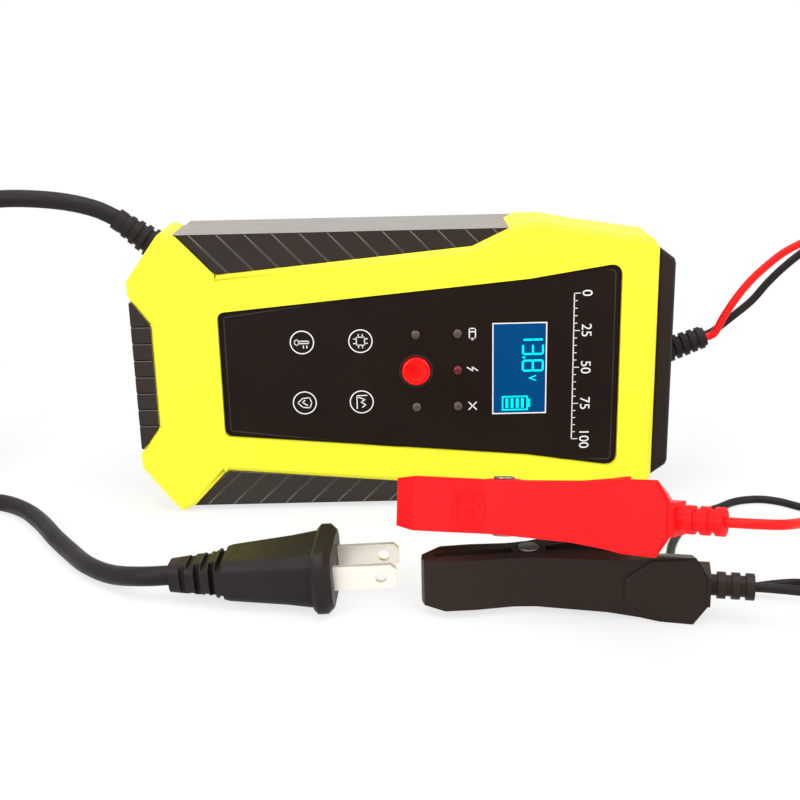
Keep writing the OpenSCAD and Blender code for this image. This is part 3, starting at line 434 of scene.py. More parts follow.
@dataclass
class Dresser:
    """Keeps the loaded frame, and adds pieces to it."""

    nodes: dict[str, Piece]

    def paint(self, names: Sequence[str], finish: Finishes) -> None:
        """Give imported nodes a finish.

        Args:
            names: The nodes.
            finish: Their finish.
        """
        for name in names:
            mesh = self.nodes[name].data
            mesh.materials.clear()
            mesh.materials.append(finish.mat())
            LOG.info("node %s: %s", name, finish.value.name)

    def add(self, piece: Piece, body: str, slot: str, *replaced: str) -> Piece:
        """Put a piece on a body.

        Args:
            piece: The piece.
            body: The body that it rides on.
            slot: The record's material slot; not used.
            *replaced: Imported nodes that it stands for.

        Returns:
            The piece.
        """
        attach(piece, body)
        if replaced:
            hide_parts(*replaced)
        LOG.info("piece %s on %s", piece.name, body)
        return piece

    def round(
        self, node: str, finish: Finishes, body: str, slot: str, bevel: float, limit: float, segments: int = 2
    ) -> Piece:
        """Replace a node by its own copy with rounded edges.

        Args:
            node: The node.
            finish: Its finish.
            body: The body that it rides on.
            slot: The record's material slot.
            bevel: The bevel's width, in millimetres.
            limit: Only edges that turn by more than this, in degrees, are rounded.
            segments: The bevel's segments.

        Returns:
            The new piece.
        """
        piece = piece_from(rounded_copy(self.nodes[node], bevel, limit, segments), node + "_moulding", finish)
        piece.modifiers.new("even shading", "WEIGHTED_NORMAL").keep_sharp = True
        return self.add(piece, body, slot, node)


# ---- studio


@dataclass(frozen=True)
class Softbox:
    """One square soft lamp: its name, place, side in metres and power in watts."""

    name: str
    place: Point
    size: float
    power: float

    def build(self, aim: Point) -> None:
        """Add the lamp.

        Args:
            aim: The point that it faces.
        """
        data = bpy.data.lights.new(self.name, "AREA")
        data.size = self.size
        data.energy = self.power
        obj = bpy.data.objects.new(self.name, data)
        obj.location = self.place
        obj.rotation_euler = (Vector(aim) - Vector(self.place)).to_track_quat("-Z", "Y").to_euler()
        bpy.context.scene.collection.objects.link(obj)


@dataclass
class Studio:
    """The camera, the floor, the lamps and the world."""

    place: Point = (-0.0005, -0.3568, 0.138)
    yaw: float = -0.12
    pitch: float = 17.16
    roll: float = -1.32
    focal_px: float = 1168.0
    frame_px: float = 800.0
    sensor: float = 36.0
    floor_half: float = 6.0
    floor_paint: float = 0.86
    fade_reach: tuple[float, float] = (0.11, 0.24)
    fade_from: float = 0.72
    world_light: float = 0.45
    aim: Point = (0.0, 0.0, 0.04)
    softboxes: tuple[Softbox, ...] = (
        Softbox("top softbox", (0.0, -0.12, 0.95), 0.9, 7.5),
        Softbox("front left softbox", (-0.75, -0.85, 0.6), 0.7, 6.5),
        Softbox("front right softbox", (0.8, -0.75, 0.5), 0.7, 5.0),
    )

    def camera(self) -> None:
        """Create the camera at its measured place and turn."""
        yaw, pitch, roll = (math.radians(a) for a in (self.yaw, self.pitch, self.roll))
        level = math.cos(pitch)
        ahead = Vector((math.sin(yaw) * level, math.cos(yaw) * level, -math.sin(pitch)))
        right = Vector((math.cos(yaw), -math.sin(yaw), 0.0))
        up = right.cross(ahead)
        side = right * math.cos(roll) + up * math.sin(roll)
        top = up * math.cos(roll) - right * math.sin(roll)
        data = bpy.data.cameras.new("camera")
        data.sensor_width = self.sensor
        data.lens = self.focal_px / self.frame_px * self.sensor
        data.clip_start = 0.01
        obj = bpy.data.objects.new("camera", data)
        turn = Matrix((side, top, -ahead)).transposed().to_4x4()
        obj.matrix_world = Matrix.Translation(self.place) @ turn
        bpy.context.scene.collection.objects.link(obj)
        bpy.context.scene.camera = obj

    def floor(self) -> None:
        """Create a pale floor that looks white and keeps the shadow near the object."""
        bm = bmesh.new()
        bmesh.ops.create_grid(bm, x_segments=1, y_segments=1, size=self.floor_half)
        mesh = bpy.data.meshes.new("floor")
        bm.to_mesh(mesh)
        bm.free()
        mat = bpy.data.materials.new("pale floor")
        mat.use_nodes = True
        graph = Graph(mat.node_tree)
        shader = graph.tree.nodes["Principled BSDF"]
        paint = (self.floor_paint, self.floor_paint, self.floor_paint, 1.0)
        graph.feed(shader, Base_Color=paint, Roughness=0.8, Specular_IOR_Level=0.1)
        glow = graph.node("Emission")
        graph.feed(glow, Strength=1.0)
        far = graph.node("VectorMath", operation="LENGTH")
        graph.put(far.inputs[0], graph.place())
        fade = graph.spread(far.outputs["Value"], self.fade_from, 1.0, self.fade_reach)
        mix = graph.node("MixShader")
        graph.feed(mix, Fac=graph.maths("MULTIPLY", graph.seen(), fade))
        graph.put(mix.inputs[1], shader.outputs[0])
        graph.put(mix.inputs[2], glow.outputs[0])
        graph.feed(graph.tree.nodes["Material Output"], Surface=mix.outputs[0])
        mesh.materials.append(mat)
        obj = bpy.data.objects.new("floor", mesh)
        bpy.context.scene.collection.objects.link(obj)

    def world(self) -> None:
        """Make the world white where it shows, and a plain grey light to the rest."""
        world = bpy.data.worlds.new("studio")
        bpy.context.scene.world = world
        world.use_nodes = True
        graph = Graph(world.node_tree)
        level = graph.spread(graph.seen(), self.world_light, 1.0, (0.0, 1.0))
        back = graph.tree.nodes["Background"]
        graph.feed(back, Color=(1.0, 1.0, 1.0, 1.0), Strength=level)

    def build(self) -> None:
        """Set up the whole studio."""
        self.camera()
        self.floor()
        self.world()
        for softbox in self.softboxes:
            softbox.build(self.aim)
        bpy.context.scene.view_settings.view_transform = "Standard"


# ---- cords


@dataclass(frozen=True)
class Coil:
    """A cord coiled on the table in two layers, as a flat spiral in and out; sizes in millimetres."""

    centre: tuple[float, float]
    turns: float
    mean: float
    diameter: float
    start: float
    way: int
    play: float = 0.7
    steps: int = 24

    def heading(self, angle: float) -> Vector:
        """Return the direction of travel at an angle, in degrees."""
        a = math.radians(angle)
        return Vector((-math.sin(a), math.cos(a), 0.0)) * self.way

    def at(self, k: float) -> Vector:
        """Find a point of the coil.

        Args:
            k: How many steps along the coil it is.

        Returns:
            The point.
        """
        s = k / self.steps - self.turns / 2
        pitch = self.diameter + self.play
        r = self.mean + pitch * (abs(s) - self.turns / 4)
        a = math.radians(self.start + self.way * 360 * k / self.steps)
        share = min(1.0, max(0.0, s * 2 + 0.5))
        lift = self.diameter / 2 + pitch * share * share * (3 - 2 * share)
        return Vector((self.centre[0] + r * math.cos(a), self.centre[1] + r * math.sin(a), lift))

    def route(self) -> list[Vector]:
        """Follow the coil, with a straight diameter at each end.

        Returns:
            Its points.
        """
        n = round(self.turns * self.steps)
        body = [self.at(k) for k in range(n + 1)]
        first = body[0] - self.heading(self.start) * self.diameter
        last = body[-1] + self.heading(self.start + self.way * 360 * self.turns) * self.diameter
        return [first, *body, last]


def smooth_route(points: Sequence[Vector], step: float) -> list[Vector]:
    """Pass a centripetal Catmull-Rom curve through points.

    Args:
        points: The points, in millimetres.
        step: The spacing of the result, in millimetres.

    Returns:
        The curve's points.
    """
    line = [points[0] * 2 - points[1], *points, points[-1] * 2 - points[-2]]
    out: list[Vector] = []
    for a, b, c, d in zip(line, line[1:], line[2:], line[3:]):
        count = max(1, round((c - b).length / step))
        t1 = (b - a).length ** 0.5
        t2 = t1 + (c - b).length ** 0.5
        t3 = t2 + (d - c).length ** 0.5
        for i in range(count):
            t = t1 + (t2 - t1) * i / count
            p = a * ((t1 - t) / t1) + b * (t / t1)
            q = b * ((t2 - t) / (t2 - t1)) + c * ((t - t1) / (t2 - t1))
            r = c * ((t3 - t) / (t3 - t2)) + d * ((t - t2) / (t3 - t2))
            pq = p * ((t2 - t) / t2) + q * (t / t2)
            qr = q * ((t3 - t) / (t3 - t1)) + r * ((t - t1) / (t3 - t1))
            out.append(pq * ((t2 - t) / (t2 - t1)) + qr * ((t - t1) / (t2 - t1)))
    out.append(points[-1])
    return out


@dataclass(frozen=True)
class Lead:
    """One free cord: its route, its coil and what is on its end."""

    name: str
    finish: Finishes
    slot: str
    diameter: float
    upper: tuple[Point, ...]
    coil: Coil
    lower: tuple[Point, ...]
    stiffness: str
    far_end: str
    replaced: tuple[str, ...]

    def centreline(self) -> list[Vector]:
        """Follow the whole cord, from the housing to its far end.

        Returns:
            Its points, in metres.
        """
        coil = self.coil.route()[::-1]
        points = [Vector(p) for p in self.upper] + coil + [Vector(p) for p in self.lower]
        return [p * MM for p in smooth_route(points, self.diameter * 0.5)]

    def build(self, dresser: Dresser, on_it: Sequence[Piece]) -> None:
        """Args:
            dresser: The frame's dresser.
            on_it: The pieces on the cord; not used.
        """
        line = self.centreline()
        data = bpy.data.curves.new(self.name, "CURVE")
        data.dimensions = "3D"
        data.bevel_depth = self.diameter / 2 * MM
        data.bevel_resolution = 4
        data.use_fill_caps = True
        spline = data.splines.new("POLY")
        spline.points.add(len(line) - 1)
        for target, p in zip(spline.points, line):
            target.co = (*p, 1.0)
        spline.use_smooth = True
        data.materials.append(self.finish.mat())
        obj = bpy.data.objects.new(self.name, data)
        bpy.context.scene.collection.objects.link(obj)
        dresser.add(obj, HOUSING, self.slot, *self.replaced)
        length = sum((b - a).length for a, b in zip(line, line[1:]))
        LOG.info("cord %s: %.3f m", self.name, length)


# Points 19 to 34 of the mains cord's upper run lie up to 5.2 mm further out than its solid's.
MAINS = Lead(
    name="mains_cord", finish=Finishes.CORD, slot="cord_black", diameter=5.2, stiffness="medium",
    far_end="plug", replaced=("ac_cord_upper", "ac_coil", "ac_cord_lower"),
    coil=Coil((-178, 20), 4.5, 29, 5.2, -90, -1),
    upper=(
        (-84.5553, -8, 88.9592), (-89.15, -8, 91.36), (-94.07, -8, 92.97), (-99.15, -8, 94.09),
        (-104.34, -8, 94.81), (-109.57, -7.98, 95.25), (-114.81, -7.84, 95.44), (-119.97, -7.4, 95.26),
        (-124.96, -6.43, 94.6), (-129.64, -4.78, 93.41), (-133.84, -2.45, 91.72), (-137.41, 0.48, 89.57),
        (-140.23, 3.92, 87.05), (-142.19, 7.73, 84.25), (-143.33, 11.78, 81.27), (-143.82, 15.95, 78.2),
        (-143.97, 20.18, 75.1), (-144, 24.42, 72), (-144.3, 28.67, 68.9), (-144.8, 32.9, 65.8),
        (-145.6, 37.12, 62.69), (-146.6, 41.29, 59.52), (-147.6, 45.25, 56.14), (-148.35, 48.78, 52.38),
        (-148.9, 51.64, 48.14), (-149.15, 53.68, 43.47), (-149.3, 54.88, 38.49), (-149.5, 55.41, 33.4),
        (-149.95, 55.57, 28.38), (-150.95, 55.6, 23.62), (-152.75, 55.6, 19.32), (-155.3, 55.6, 15.55),
        (-158.7, 55.6, 12.5), (-162.95, 55.6, 10.45), (-167.67, 55.62, 9.28),
    ),
    lower=(
        (-166, -15.6, 2.6), (-156, -15.6, 2.6), (-146, -15.6, 2.6), (-136, -15.6, 2.6), (-126, -17.5, 2.6),
        (-117, -24, 2.6), (-109, -34, 2.6), (-102, -45, 2.6), (-95, -55, 2.6), (-87.5, -65, 2.8),
        (-79, -73, 3.6), (-68.363, -79.9868, 6.1332), (-61.3822, -80.3526, 6.4996),
    ),
)
RED_LEAD = Lead(
    name="red_lead", finish=Finishes.LEAD_RED, slot="lead_red", diameter=2.4,
    stiffness="limp", far_end="connector", replaced=("red_lead_upper", "red_coil", "red_lead_lower"),
    coil=Coil((136, -66), 5, 13.4, 2.4, 90, -1),
    upper=(
        (93.7316, -6.35, 47.9251), (95.9868, -6.35, 48.7459), (99, -6.2, 54.3), (102.7, -5.6, 60),
        (107, -5, 65.2), (111.6, -4.4, 69.4), (116.5, -4, 73.2), (121.8, -3.8, 76), (128, -3.8, 78.6),
        (134.5, -4, 80), (141, -4.4, 79.6), (149, -5, 77), (157, -7, 71), (163, -10, 62), (167, -16, 50),
        (168, -24, 38), (166, -34, 24), (160, -42, 12), (150, -48, 6), (143.4, -48.725, 4.6),
    ),
    lower=(
        (128, -49.6, 1.9), (122, -52.6, 3.6), (116, -58.4, 6.4), (110.4, -67.2, 10.8), (105.5, -78, 16.2),
        (101.2, -88.8, 21.6), (96.8, -99.6, 26.6), (92, -109.2, 30.4), (87.2, -115.8, 32.6),
        (82.2, -119.3, 33.9), (77.3, -119.1, 34.1), (73.1344, -117.3555, 33.7152),
        (71.0694, -116.163, 33.4435),
    ),
)
BLACK_LEAD = Lead(
    name="black_lead", finish=Finishes.CORD, slot="lead_black", diameter=2.4,
    stiffness="limp", far_end="connector", replaced=("black_lead_upper", "black_coil", "black_lead_lower"),
    coil=Coil((150, -20), 5, 13.4, 2.4, -90, 1),
    upper=(
        (93.7316, -3.65, 47.9251), (95.9868, -3.65, 48.7459), (103, -2.4, 53.6), (109, -1, 58.1),
        (113.3, 0, 62.8), (117.6, 0.6, 67), (124, 1.2, 72.2), (133, 2, 77.5), (142, 2.5, 80), (151, 3, 78),
        (160, 3, 73), (168, 2, 65), (174, 0, 54), (177, -5, 41), (177, -14, 28), (174, -24, 16),
        (168, -32, 8), (160.4, -37.275, 5.1),
    ),
    lower=(
        (138, -37.2, 1.2), (126, -35.8, 1.2), (118.6, -32, 1.2), (113.6, -27.4, 1.2), (109, -25.2, 1.2),
        (104, -25.2, 1.2), (99.4, -26.8, 1.2), (94.4, -30.6, 1.2), (88.6, -34.6, 1.2), (80.6, -44, 1.2),
        (74, -57, 1.2), (71.6, -67, 1.2), (72, -76, 1.2), (75, -81.6, 1.2), (80.6, -85.2, 1.5),
        (87, -86.6, 2.4), (93.2, -87.6, 3.6), (98, -89.6, 4.8), (100.6, -93.4, 6), (99.8, -98, 7.2),
        (96.2, -100.9, 8.2), (91.4, -100.9, 8.8), (86.4724, -99.6533, 8.8), (84.1165, -99.1954, 8.8),
    ),
)


# ---- shapes in millimetres


SAME_POINT = 1e-4
TIGHTEST_CORNER = 0.4


def lathe(profile: Sequence[Flat], segments: int) -> Shape:
    """Turn a profile into a closed solid about the Z axis.

    Args:
        profile: Points (radius, height). It starts and ends on the axis.
        segments: Steps round the axis.

    Returns:
        The new shape.
    """
    shape = bmesh.new()
    verts = [shape.verts.new((r, 0.0, z)) for r, z in profile]
    edges = [shape.edges.new(pair) for pair in zip(verts, verts[1:])]
    bmesh.ops.spin(
        shape, geom=verts + edges, cent=(0, 0, 0), axis=(0, 0, 1), angle=math.tau, steps=segments,
        use_merge=True, use_duplicate=False,
    )
    bmesh.ops.remove_doubles(shape, verts=shape.verts, dist=SAME_POINT)
    bmesh.ops.recalc_face_normals(shape, faces=shape.faces)
    return shape


@dataclass
class Marks:
    """Flat marks seen from the front: plates with corners (x, z) between two depths."""

    front: float
    back: float
    shape: Shape = field(default_factory=bmesh.new)

    def thicken(self, faces: Sequence[bmesh.types.BMFace]) -> None:
        """Give faces at the front their thickness.

        Args:
            faces: The faces.
        """
        grown = bmesh.ops.extrude_face_region(self.shape, geom=faces)
        moved = [g for g in grown["geom"] if isinstance(g, bmesh.types.BMVert)]
        bmesh.ops.translate(self.shape, verts=moved, vec=(0, self.back - self.front, 0))
        bmesh.ops.recalc_face_normals(self.shape, faces=self.shape.faces)

    def plate(self, outline: Sequence[Flat]) -> None:
        """Add one plate."""
        corners = [self.shape.verts.new((x, self.front, z)) for x, z in outline]
        self.thicken([self.shape.faces.new(corners)])

    def stroke(self, points: Sequence[Flat], width: float) -> None:
        """Add a line, one plate for each straight run.

        Args:
            points: The line's points.
            width: Its width.
        """
        for (ax, az), (bx, bz) in zip(points, points[1:]):
            run = math.hypot(bx - ax, bz - az)
            ux, uz = (bx - ax) / run * width / 2, (bz - az) / run * width / 2
            near = [(ax - ux + uz, az - uz - ux), (ax - ux - uz, az - uz + ux)]
            far = [(bx + ux - uz, bz + uz + ux), (bx + ux + uz, bz + uz - ux)]
            self.plate([near[1], *far, near[0]])

    def band(self, outer: Sequence[Flat], inner: Sequence[Flat]) -> None:
        """Add a closed band between two outlines of equal count.

        Args:
            outer: Its outer outline.
            inner: Its inner outline.
        """
        edges = []
        for outline in (outer, inner):
            verts = [self.shape.verts.new((x, self.front, z)) for x, z in outline]
            edges += [self.shape.edges.new(pair) for pair in zip(verts, verts[1:] + verts[:1])]
        self.thicken(bmesh.ops.bridge_loops(self.shape, edges=edges)["faces"])


def rectangle(x: float, z: float, half_width: float, half_height: float) -> list[Flat]:
    """Return a rectangle's corners round its middle."""
    w, h = half_width, half_height
    return [(x - w, z - h), (x + w, z - h), (x + w, z + h), (x - w, z + h)]


def closed(outline: Sequence[Flat]) -> list[Flat]:
    """Return an outline that comes back to its first point."""
    return [*outline, outline[0]]


def circle(x: float, z: float, radius: float, count: int) -> list[Flat]:
    """Return points round a circle."""
    angles = [math.tau * i / count for i in range(count)]
    return [(x + radius * math.cos(a), z + radius * math.sin(a)) for a in angles]


def rounded_outline(corners: Sequence[Point], inset: float, steps: int = 6) -> list[Flat]:
    """Return a rounded outline, moved inwards.

    Args:
        corners: The sharp corners in clockwise order, each (x, z, radius).
        inset: How far the outline moves in.
        steps: The arc's steps at each corner.

    Returns:
        The outline's points.
    """
    out = []
    for i, (x, z, radius) in enumerate(corners):
        here = Vector((x, z))
        back = (Vector(corners[i - 1][:2]) - here).normalized()
        ahead = (Vector(corners[(i + 1) % len(corners)][:2]) - here).normalized()
        half = back.angle(ahead) / 2
        into = (back + ahead).normalized()
        r = max(TIGHTEST_CORNER, radius - inset)
        centre = here + into * ((inset + r) / math.sin(half))
        start = (back - into * back.dot(into)).normalized()
        for k in range(steps + 1):
            a = (math.pi / 2 - half) * (1 - 2 * k / steps)
            p = centre - into * (r * math.cos(a)) + start * (r * math.sin(a))
            out.append((p.x, p.y))
    return out


def to_metres(shape: Shape, matrix: Matrix) -> Shape:
    """Place a shape in millimetres, and scale it to metres."""
    bmesh.ops.transform(shape, matrix=Matrix.Scale(MM, 4) @ matrix, verts=shape.verts)
    return shape


def wire_route(points: Sequence[Point], diameter: float, step: float, sides: int) -> Shape:
    """Sweep a round wire along points.

    Args:
        points: The wire's centreline.
        diameter: The wire's diameter.
        step: The spacing of its rings.
        sides: The number of its sides.

    Returns:
        The new shape.
    """
    line = smooth_route([Vector(p) for p in points], step)
    shape = bmesh.new()
    ring = bmesh.ops.create_circle(shape, segments=sides, radius=diameter / 2, cap_ends=True)["verts"]
    ahead = (line[1] - line[0]).normalized()
    turn = Matrix.Translation(line[0]) @ ahead.to_track_quat("Z", "Y").to_matrix().to_4x4()
    bmesh.ops.transform(shape, matrix=turn, verts=ring)
    face = next(iter(shape.faces))
    for here, there in zip(line, line[1:]):
        heading = (there - here).normalized()
        face = bmesh.ops.extrude_discrete_faces(shape, faces=[face])["faces"][0]
        twist = ahead.rotation_difference(heading).to_matrix().to_4x4()
        move = Matrix.Translation(there) @ twist @ Matrix.Translation(-here)
        bmesh.ops.transform(shape, matrix=move, verts=face.verts)
        ahead = heading
    bmesh.ops.recalc_face_normals(shape, faces=shape.faces)
    return shape


# ---- housing


@dataclass
class Housing:
    """The moulded shells, the yellow frame, the end cap and the two strain reliefs."""

    dresser: Dresser
    frame_bevel: float = 0.7
    front_bevel: float = 0.35
    back_bevel: float = 0.5
    relief_bevel: float = 0.3

    def build(self) -> None:
        """Round and dress each moulding."""
        for node, finish, slot, bevel, limit, segments in (
            ("front_frame", Finishes.YELLOW, "frame_yellow", self.frame_bevel, 28, 3),
            ("front_shell", Finishes.SHELL, "shell_black", self.front_bevel, 32, 2),
            ("back_shell", Finishes.SHELL, "shell_black", self.back_bevel, 32, 2),
            ("end_cap", Finishes.BLACK, "shell_black", self.back_bevel, 24, 2),
            ("ac_gland", Finishes.PLUG, "cord_black", self.relief_bevel, 40, 2),
            ("dc_gland", Finishes.PLUG, "cord_black", self.relief_bevel, 40, 2),
        ):
            self.dresser.round(node, finish, HOUSING, slot, bevel, limit, segments)
        self.dresser.paint(["housing_screws", "board_screws"], Finishes.STEEL)


# ---- face


class Glyph(Enum):
    """The pictograms in the four rings and beside the lamps, as printed lines about their centres."""

    THERMOMETER = (
        ((-0.35, -1.0), (-0.35, 2.0), (0.35, 2.0), (0.35, -1.0)),
        ((-0.9, -1.6), (-0.45, -2.2), (0.45, -2.2), (0.9, -1.6), (0.45, -1.0), (-0.45, -1.0), (-0.9, -1.6)),
        ((1.1, 1.4), (1.7, 1.4)),
        ((1.1, 0.4), (1.7, 0.4)),
    )
    CHIP = (
        closed(rectangle(0, 0, 1.2, 1.2)),
        *(((x, side * 1.2), (x, side * 2.0)) for side in (1, -1) for x in (-0.7, 0.7)),
        *(((side * 1.2, z), (side * 2.0, z)) for side in (1, -1) for z in (0.6, -0.6)),
    )
    GUARD = (
        ((-1.6, 1.5), (0.0, 2.1), (1.6, 1.5), (1.4, -0.6), (0.0, -2.1), (-1.4, -0.6), (-1.6, 1.5)),
        ((-0.7, 0.0), (-0.1, -0.7), (0.8, 0.8)),
    )
    WAVE = (
        ((-2.0, -1.4), (-2.0, 1.6)),
        ((-2.0, -1.4), (2.0, -1.4)),
        ((-1.5, -0.9), (-0.7, 1.0), (0.1, -0.2), (0.9, 1.2), (1.7, 0.2)),
    )
    BATTERY = (
        closed(rectangle(0, 0, 1.5, 0.9)),
        ((1.5, -0.4), (1.9, -0.4), (1.9, 0.4), (1.5, 0.4)),
        ((-0.5, -0.5), (-0.5, 0.5)),
    )
    BOLT = (((0.5, 1.5), (-0.7, -0.1), (0.6, 0.1), (-0.5, -1.5)),)
    FAULT = (((-1.1, -1.1), (1.1, 1.1)), ((-1.1, 1.1), (1.1, -1.1)))

    def draw(self, marks: Marks, x: float, z: float, width: float) -> None:
        """Print this pictogram round a place, with its top to the wide end."""
        for line in self.value:
            marks.stroke([(x + v, z - u) for u, v in line], width)


class Digit(Enum):
    """The lit bars of a seven-bar digit, from a at its top, clockwise to f, and g in its middle."""

    ONE = "bc"
    THREE = "abcdg"
    EIGHT = "abcdefg"

    def bars(self, width: float, height: float) -> list[tuple[Flat, Flat]]:
        """Place the lit bars, from the digit's lower left corner.

        Args:
            width: The digit's width.
            height: Its height.

        Returns:
            Each bar's two ends (u right, v up).
        """
        w, h, m = width, height, height / 2
        places = {
            "a": ((0, h), (w, h)), "b": ((w, h), (w, m)), "c": ((w, m), (w, 0)), "d": ((0, 0), (w, 0)),
            "e": ((0, m), (0, 0)), "f": ((0, h), (0, m)), "g": ((0, m), (w, m)),
        }
        return [places[name] for name in self.value]


@dataclass
class FacePanel:
    """The sunken face: film, printed marks, rings, scale, lamps, display and mode button.

    Places are (x, z) from the face's middle and depths are along Y, all in millimetres.
    """

    dresser: Dresser
    mid: float = 43.5
    face: float = -23.0
    film: float = -21.7
    plate: float = -20.6
    proud: float = 0.05
    sunk: float = 0.02
    film_bevel: float = 0.2
    corners: tuple[Point, ...] = (
        (64, 31.2, 2.8), (37, 27.052, 8), (-54, 19, 2), (-54, -19, 2), (37, -27.052, 8), (64, -31.2, 2.8),
    )
    lip_inset: float = 1.4
    lip_width: float = 0.3
    ring_places: tuple[tuple[float, float, Glyph], ...] = (
        (-29.8, 9.5, Glyph.THERMOMETER), (-12.5, 9.5, Glyph.CHIP), (-29.8, -9.2, Glyph.GUARD),
        (-12.7, -9.3, Glyph.WAVE),
    )
    ring_radius: float = 3.6
    ring_line: float = 0.32
    ring_sides: int = 40
    ring_glyph_line: float = 0.3
    lamp_glyphs: tuple[tuple[Glyph, float], ...] = (
        (Glyph.BATTERY, 11.1), (Glyph.BOLT, 0.2), (Glyph.FAULT, -11.3),
    )
    lamp_glyph_x: float = 20.6
    lamp_glyph_line: float = 0.34
    scale_x: float = 50.5
    scale_half: float = 22.5
    scale_line: float = 0.3
    ticks: int = 20
    tick_line: float = 0.24
    tick_length: float = 0.9
    long_tick_length: float = 1.7
    scale_numbers: tuple[str, ...] = ("0", "25", "50", "75", "100")
    number_gap: float = 2.4
    number_height: float = 2.9
    height_of_size: float = 0.69
    lcd_place: Flat = (34.6, 0.0)
    lcd_half: Flat = (8.0, 14.0)
    lcd_gap: float = 0.15
    border_out: float = 0.1
    border_in: float = 0.25
    lcd_sunk: float = 0.03
    # Each digit with its shift along the row and its width.
    digits: tuple[tuple[Digit, float, float], ...] = (
        (Digit.ONE, 0.0, 0.0), (Digit.THREE, 1.5, 2.9), (Digit.EIGHT, 6.4, 3.1),
    )
    digit_foot: Flat = (35.6, 8.8)
    digit_height: float = 5.9
    bar_line: float = 0.6
    bar_cut: float = 0.42
    point_mark: tuple[Flat, ...] = ((35.7, 3.4), (36.1, 3.4))
    point_line: float = 0.5
    unit_mark: tuple[Flat, ...] = ((39.4, -2.3), (37.6, -3.0), (39.4, -3.7))
    unit_line: float = 0.34
    battery_mark: tuple[float, ...] = (33.3, -10.75, 3.7, 2.05)
    battery_line: float = 0.45
    battery_end: tuple[Flat, ...] = ((37.6, -9.8), (37.6, -11.7))
    cells: int = 4
    cell_line: float = 0.85
    cell_start: Flat = (30.9, -9.7)
    cell_pitch: float = 1.55
    cell_height: float = 2.1
    lamp_places: tuple[Flat, ...] = ((3.8, 11.2), (3.8, -11.2), (16.2, 11.2), (16.2, 0.0), (16.2, -11.2))
    red_lamp: int = 3
    lamp_radius: float = 1.35
    lamp_rise: float = 0.3
    # The dome's height, its rim's depth and its base's depth.
    lens_depths: tuple[float, float, float] = (0.65, -0.1, 0.3)
    lens_steps: int = 8
    lens_sides: int = 32
    button_place: Flat = (3.8, 0.0)
    button_radius: float = 4.25
    button_sides: int = 64
    # How far the collar's edges lie outside the button, and its front and back from the film.
    collar_reach: Flat = (0.75, 0.42)
    collar_depths: Flat = (-0.12, 0.05)

    def marks(self, sunk: float) -> Marks:
        """Start marks that stand a little proud of the film."""
        return Marks(self.film - self.proud, self.film + sunk)

    def lay(
        self, marks: Marks, name: str, finish: Finishes = Finishes.PRINT,
        slot: str = "panel_black", *replaced: str,
    ) -> None:
        """Turn marks into a piece of the housing.

        Args:
            marks: The marks.
            name: The piece's name.
            finish: Its finish.
            slot: The record's material slot.
            *replaced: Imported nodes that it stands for.
        """
        shape = to_metres(marks.shape, Matrix.Translation((0, 0, self.mid)))
        self.dresser.add(piece_from(shape, name, finish), HOUSING, slot, *replaced)

    def turned(self, profile: Sequence[Flat], segments: int, x: float, depth: float, z: float) -> Shape:
        """Return a lathed shape that stands on the face, with heights measured into the housing."""
        turn = Matrix.Translation((x, depth, self.mid + z)) @ Matrix.Rotation(math.radians(-90), 4, "X")
        return to_metres(lathe(profile, segments), turn)

    def lip(self) -> None:
        """Lay the thin moulded line that runs round the panel, just inside its edge, in a grey lighter than
        the film: a real raised lip with a painted highlight.
        """
        marks = self.marks(self.sunk)
        marks.band(*(rounded_outline(self.corners, self.lip_inset + d) for d in (0.0, self.lip_width)))
        self.lay(marks, "panel_lip_highlight", Finishes.LIP_HIGHLIGHT)

    def rings(self) -> None:
        """Print the four rings with their pictograms."""
        for i, (x, z, glyph) in enumerate(self.ring_places):
            marks = self.marks(self.sunk)
            radii = (self.ring_radius, self.ring_radius - self.ring_line)
            marks.band(*(circle(x, z, r, self.ring_sides) for r in radii))
            glyph.draw(marks, x, z, self.ring_glyph_line)
            self.lay(marks, f"ring_mark_{i + 1}")

    def lamp_marks(self) -> None:
        """Print the small pictograms beside the lamps."""
        marks = self.marks(self.sunk)
        for glyph, z in self.lamp_glyphs:
            glyph.draw(marks, self.lamp_glyph_x, z, self.lamp_glyph_line)
        self.lay(marks, "lamp_marks")

    def scale(self) -> None:
        """Print the graduated scale down the wide end, with its numbers."""
        marks = self.marks(self.sunk)
        base, top, gaps = self.scale_x, self.scale_half, len(self.scale_numbers) - 1
        marks.stroke([(base, top), (base, -top)], self.scale_line)
        for i in range(self.ticks + 1):
            z = top - 2 * top * i / self.ticks
            length = self.tick_length if i % (self.ticks // gaps) else self.long_tick_length
            marks.stroke([(base, z), (base + length, z)], self.tick_line)
        self.lay(marks, "charge_scale")
        for i, label in enumerate(self.scale_numbers):
            number = self.numeral(label, base + self.number_gap, top - 2 * top * i / gaps)
            self.dresser.add(number, HOUSING, "panel_black")

    def numeral(self, label: str, x: float, z: float) -> Piece:
        """Print a number whose top points to the wide end.

        Args:
            label: The number.
            x: Where its foot is.
            z: Where its middle is.

        Returns:
            The piece.
        """
        text = bpy.data.curves.new(f"number_{label}", "FONT")
        text.body = label
        text.size = self.number_height / self.height_of_size
        text.align_x = "CENTER"
        text.extrude = (self.proud + self.sunk) / 2
        text.resolution_u = 4
        holder = bpy.data.objects.new(f"number_{label}", text)
        mesh = bpy.data.meshes.new_from_object(holder)
        shape = bmesh.new()
        shape.from_mesh(mesh)
        bpy.data.meshes.remove(mesh)
        bpy.data.objects.remove(holder)
        bmesh.ops.remove_doubles(shape, verts=shape.verts, dist=SAME_POINT)
        depth = self.film + (self.sunk - self.proud) / 2
        turn = Matrix(((0, 1, 0, x), (0, 0, -1, depth), (-1, 0, 0, self.mid + z), (0, 0, 0, 1)))
        return piece_from(to_metres(shape, turn), f"scale_number_{label}", Finishes.PRINT)

